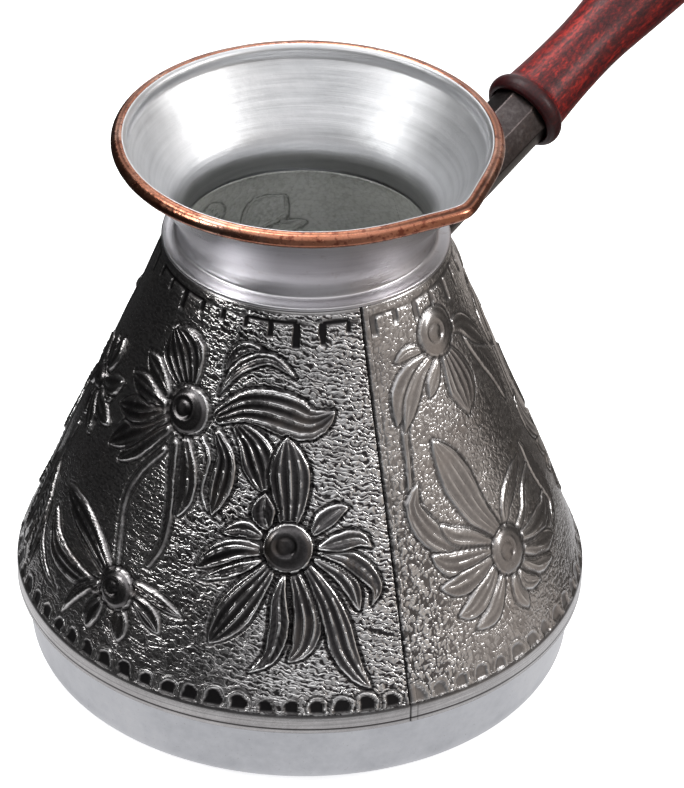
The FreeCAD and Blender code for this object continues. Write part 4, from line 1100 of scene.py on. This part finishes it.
def wood():
    m = Mat("lacquered_wood")
    grain = m.noise(1.0, 5, 0.62, handle_coords(m, 0.035, 0.42), 1.0)
    pore = m.noise(1.0, 4, 0.65, handle_coords(m, 0.95, 2.6))
    fleck = m.remap(pore, 0.53, 0.66, 0.0, 1.0)
    speck = m.noise(1.0, 5, 0.75, handle_coords(m, 0.8, 1.5))
    tone = m.math("MULTIPLY_ADD", speck, 0.62, m.math("MULTIPLY", grain, 0.38))
    col = m.ramp(tone, [(0.38, (0.018, 0.002, 0.003)), (0.46, (0.055, 0.004, 0.005)), (0.53, (0.120, 0.007, 0.007)),
                        (0.61, (0.34, 0.018, 0.012))])
    col = m.mix(m.math("MULTIPLY", fleck, 0.80), col, (0.022, 0.002, 0.003))
    cloud = m.noise(0.045, 3, 0.5)
    col = m.mix(m.remap(cloud, 0.46, 0.66, 0.0, 0.45), col, (0.05, 0.004, 0.005))
    # the turned collar next to the socket is painted almost black: painted shade standing in for the dark reflection on
    # its rim and end face
    at = m.add("ShaderNodeVectorMath", operation="DOT_PRODUCT")
    m.put(at.inputs[0], m.p)
    at.inputs[1].default_value = tuple(H_DIR)
    start = HANDLE_Z0 * H_DIR[2] + MOUTH_S
    collar = m.remap(m.math("SUBTRACT", at.outputs["Value"], start), 2.8, 4.2, 0.86, 0.0)
    col = m.mix(collar, col, (0.018, 0.003, 0.004))
    rough = m.math("MULTIPLY_ADD", m.noise(1.2, 4, 0.6), 0.24, 0.36)
    n = m.bump(m.math("ADD", m.math("MULTIPLY", fleck, -0.7), grain), 0.30, 0.12)
    n = m.bump(m.noise(2.6, 3, 0.6), 0.12, 0.06, n)
    return m.finish(Base_Color=col, Metallic=0.0, Roughness=rough, Normal=n, Specular_IOR_Level=0.22,
                    Coat_Weight=0.14, Coat_Roughness=0.28)


def brass():
    m = Mat("brass_end")
    cloud = m.noise(0.2, 4, 0.6)
    line = m.noise(1.0, 3, 0.6, handle_coords(m, 5.0, 0.06))
    col = m.ramp(cloud, [(0.3, (0.42, 0.27, 0.10)), (0.55, (0.62, 0.43, 0.18)), (0.75, (0.72, 0.54, 0.27))])
    col = m.mix(m.remap(m.noise(0.9, 5, 0.7), 0.55, 0.72, 0.0, 0.6), col, (0.17, 0.10, 0.05))
    rough = m.math("MULTIPLY_ADD", line, 0.2, 0.2)
    n = m.bump(line, 0.25, 0.04)
    n = m.bump(m.noise(1.4, 4, 0.6), 0.18, 0.06, n)
    return m.finish(Base_Color=col, Metallic=1.0, Roughness=rough, Normal=n)


def steel(name, tint, low):
    m = Mat(name)
    cloud = m.noise(0.3, 4, 0.6)
    grit = m.noise(2.4, 5, 0.65)
    col = m.ramp(cloud, [(0.3, tuple(0.62 * c for c in tint)), (0.6, tint), (0.8, tuple(min(1.0, 1.2 * c) for c in tint))])
    col = m.mix(m.remap(m.noise(0.8, 5, 0.7), 0.58, 0.74, 0.0, 0.6), col, (0.20, 0.12, 0.08))
    rough = m.math("MULTIPLY_ADD", grit, 0.25, low)
    n = m.bump(grit, 0.2, 0.05)
    n = m.bump(m.noise(0.7, 3, 0.5), 0.2, 0.12, n)
    return m.finish(Base_Color=col, Metallic=1.0, Roughness=rough, Normal=n)


def dress(ob, mat):
    if ob.material_slots:
        for s in ob.material_slots:
            s.material = mat
    else:
        ob.data.materials.append(mat)


M_BODY, M_STEEL = embossed(), steel("steel_bolt", (0.50, 0.50, 0.51), 0.2)
M_INSIDE = tinned_inside()
for ob in sheets.values():
    ob.data.materials.append(M_BODY)
    ob.data.materials.append(M_INSIDE)
dress(pan, tin_pan())
dress(neck, tin_neck())
dress(rim, rim_metal())
dress(bracket, bracket_metal())
dress(grip, wood())
dress(ferrule, brass())
dress(ring, M_STEEL)
dress(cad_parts["eye_bolt"], M_STEEL)
dress(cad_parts["bracket_nut"], M_STEEL)
dress(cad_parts["rim_wire"], steel("steel_wire", (0.42, 0.41, 0.40), 0.3))


# ======================================================= floor, light, camera
def turn(v, deg):
    c, s = math.cos(math.radians(deg)), math.sin(math.radians(deg))
    return Vector((v[0] * c - v[1] * s, v[0] * s + v[1] * c, v[2]))



def surroundings(t, az, el, add):
    """Brightness of the studio by direction: az is 0 on the viewer's side, 90 on
    the right, and el is the height above the horizon, both in radians."""
    def put(socket, v):
        if isinstance(v, bpy.types.NodeSocket):
            t.links.new(v, socket)
        else:
            socket.default_value = v

    def mth(op, a, b=0.0):
        n = add("ShaderNodeMath", operation=op)
        put(n.inputs[0], a)
        put(n.inputs[1], b)
        return n.outputs[0]

    def step(v, a, b, c=0.0, d=1.0):
        n = add("ShaderNodeMapRange", interpolation_type="SMOOTHSTEP")
        put(n.inputs[0], v)
        for k, x in zip((1, 2, 3, 4), (a, b, c, d)):
            n.inputs[k].default_value = x
        return n.outputs[0]

    deg = math.radians
    edge = step(az, deg(-60), deg(-4), deg(50), deg(26))
    low = step(mth("SUBTRACT", edge, el), deg(-5), deg(8))
    dark = mth("MULTIPLY", mth("MULTIPLY", step(az, deg(48), deg(30)), step(az, deg(-172), deg(-160))), low)
    lift = mth("MULTIPLY", step(az, deg(-42), deg(8)), 0.30)
    right = mth("MULTIPLY", mth("MULTIPLY", step(az, deg(30), deg(48)), step(az, deg(168), deg(150))),
                step(el, deg(48), deg(28)))
    level = mth("ADD", mth("MULTIPLY", dark, mth("SUBTRACT", lift, 0.975)), 1.0)
    level = mth("SUBTRACT", level, mth("MULTIPLY", right, 0.45))
    rim_dark = mth("MULTIPLY", mth("MULTIPLY", step(az, deg(96), deg(108)), step(az, deg(146), deg(134))), step(el, deg(40), deg(22)))
    level = mth("SUBTRACT", level, mth("MULTIPLY", rim_dark, 0.46))
    level = mth("ADD", level, mth("MULTIPLY", step(el, deg(38), deg(62)), 0.45))
    tint = add("ShaderNodeMix", data_type="RGBA")
    put(tint.inputs[0], right)
    tint.inputs[6].default_value = (1.0, 1.0, 1.02, 1.0)
    tint.inputs[7].default_value = (1.0, 0.91, 0.84, 1.0)
    return level, tint.outputs[2], mth, step


def adder(tree):
    def add(kind, **props):
        n = tree.nodes.new(kind)
        for k, v in props.items():
            setattr(n, k, v)
        return n
    return add


def direction(t, add, socket):
    """(x, y, z) of a vector or a place, turned about Z so that the azimuth from the viewer's side follows from x and y.
    """
    rot = add("ShaderNodeVectorRotate", rotation_type="Z_AXIS")
    rot.inputs["Angle"].default_value = math.radians(90.0 - VIEW_TURN)
    t.links.new(socket, rot.inputs["Vector"])
    sep = add("ShaderNodeSeparateXYZ")
    t.links.new(rot.outputs[0], sep.inputs[0])
    return sep.outputs


# ---- floor: pale; what the metal mirrors of it is a dark table beyond a pale mat
floor = add_mesh("floor", [(-3000, -3000, 0), (3000, -3000, 0), (3000, 3000, 0), (-3000, 3000, 0)], [(0, 1, 2, 3)], smooth=False)
floor.location.z = -0.0002
fm = bpy.data.materials.new("pale_floor")
fm.use_nodes = True
ft = fm.node_tree
ft.nodes.clear()
fadd = adder(ft)
ftc = fadd("ShaderNodeTexCoord")
fx = direction(ft, fadd, ftc.outputs["Object"])
fslot = fadd("ShaderNodeMath", operation="ARCTAN2")
ft.links.new(fx[1], fslot.inputs[0])
ft.links.new(fx[0], fslot.inputs[1])
flevel, ftint, fmth, fstep = surroundings(ft, fslot.outputs[0], -0.1, fadd)
fr = fmth("SQRT", fmth("ADD", fmth("MULTIPLY", fx[0], fx[0]), fmth("MULTIPLY", fx[1], fx[1])))
fnear = fstep(fr, 0.115, 0.075)
fmix = fadd("ShaderNodeMix", data_type="RGBA")
ft.links.new(fnear, fmix.inputs[0])
ft.links.new(ftint, fmix.inputs[6])
fmix.inputs[7].default_value = (1.0, 1.0, 1.02, 1.0)
fpower = fmth("MAXIMUM", fmth("MULTIPLY", fnear, 0.95), flevel)
fe = fadd("ShaderNodeEmission")
ft.links.new(fmix.outputs[2], fe.inputs[0])
ft.links.new(fpower, fe.inputs[1])
fb = fadd("ShaderNodeBsdfPrincipled")
for k, v in (("Base Color", (0.93, 0.93, 0.93, 1.0)), ("Roughness", 0.7), ("Emission Color", (1.0, 1.0, 1.0, 1.0)),
             ("Emission Strength", 0.62), ("Specular IOR Level", 0.2)):
    fb.inputs[k].default_value = v
fl = fadd("ShaderNodeLightPath")
fs = fadd("ShaderNodeMixShader")
ft.links.new(fl.outputs["Is Camera Ray"], fs.inputs[0])
ft.links.new(fe.outputs[0], fs.inputs[1])
ft.links.new(fb.outputs[0], fs.inputs[2])
fo = fadd("ShaderNodeOutputMaterial")
ft.links.new(fs.outputs[0], fo.inputs[0])
dress(floor, fm)

world = bpy.data.worlds.new("studio")
bpy.context.scene.world = world
world.use_nodes = True
wt = world.node_tree
wt.nodes.clear()
wadd = adder(wt)
wtc = wadd("ShaderNodeTexCoord")
wx = direction(wt, wadd, wtc.outputs["Generated"])
waz = wadd("ShaderNodeMath", operation="ARCTAN2")
wt.links.new(wx[1], waz.inputs[0])
wt.links.new(wx[0], waz.inputs[1])
wel = wadd("ShaderNodeMath", operation="ARCSINE")
wt.links.new(wx[2], wel.inputs[0])
wlevel, wtint, _, _ = surroundings(wt, waz.outputs[0], wel.outputs[0], wadd)
bg = wadd("ShaderNodeBackground")
wt.links.new(wtint, bg.inputs[0])
wt.links.new(wlevel, bg.inputs[1])
plain_bg = wadd("ShaderNodeBackground")
plain_bg.inputs[0].default_value = (1.0, 1.0, 1.0, 1.0)
wl = wadd("ShaderNodeLightPath")
ws = wadd("ShaderNodeMixShader")
wt.links.new(wl.outputs["Is Camera Ray"], ws.inputs[0])
wt.links.new(bg.outputs[0], ws.inputs[1])
wt.links.new(plain_bg.outputs[0], ws.inputs[2])
ow = wadd("ShaderNodeOutputWorld")
wt.links.new(ws.outputs[0], ow.inputs[0])


def softbox(name, where, target, w, h, power, colour=(1, 1, 1)):
    d = bpy.data.lights.new(name, "AREA")
    d.shape = "RECTANGLE"
    d.size, d.size_y, d.energy, d.color = w, h, power, colour
    o = bpy.data.objects.new(name, d)
    o.location = turn(where, VIEW_TURN)
    o.rotation_euler = (turn(target, VIEW_TURN) - o.location).to_track_quat("-Z", "Y").to_euler()
    bpy.context.scene.collection.objects.link(o)
    return o


softbox("overhead", (-0.30, 0.35, 1.10), (0, 0, 0.05), 0.75, 0.55, 8.0)
softbox("left_box", (-0.94, -0.38, 0.70), (0, 0, 0.09), 0.22, 0.5, 4.0)
softbox("right_box", (1.00, -0.16, 0.62), (0, 0, 0.09), 0.22, 0.45, 4.5)


def view_camera():
    e, dist, f, roll = math.radians(33.2), 0.942, 5033.6, math.radians(1.09)
    cx, cy, px, py = 303.2, 386.0, 342.0, 394.0
    fw = Vector((0, math.cos(e), -math.sin(e)))
    rt = Vector((1, 0, 0))
    up = Vector((0, math.sin(e), math.cos(e)))
    eye = Vector((0, 0, 0.055)) - fw * dist
    ax, ay = math.atan2(cx - px, f), math.atan2(cy - py, f)
    rt1 = rt * math.cos(ax) + fw * math.sin(ax)
    fw1 = -rt * math.sin(ax) + fw * math.cos(ax)
    up1 = up * math.cos(ay) - fw1 * math.sin(ay)
    fw2 = up * math.sin(ay) + fw1 * math.cos(ay)
    r2 = rt1 * math.cos(roll) + up1 * math.sin(roll)
    u2 = up1 * math.cos(roll) - rt1 * math.sin(roll)
    m = Matrix((tuple(r2), tuple(u2), tuple(-fw2))).transposed().to_4x4()
    m.translation = eye
    d = bpy.data.cameras.new("view")
    d.sensor_width, d.lens = 36.0, f / 788.0 * 36.0
    d.clip_start, d.clip_end = 0.05, 20.0
    o = bpy.data.objects.new("view", d)
    o.matrix_world = Matrix.Rotation(math.radians(VIEW_TURN), 4, "Z") @ m
    bpy.context.scene.collection.objects.link(o)
    bpy.context.scene.camera = o


view_camera()
bpy.context.scene.view_settings.view_transform = "Standard"
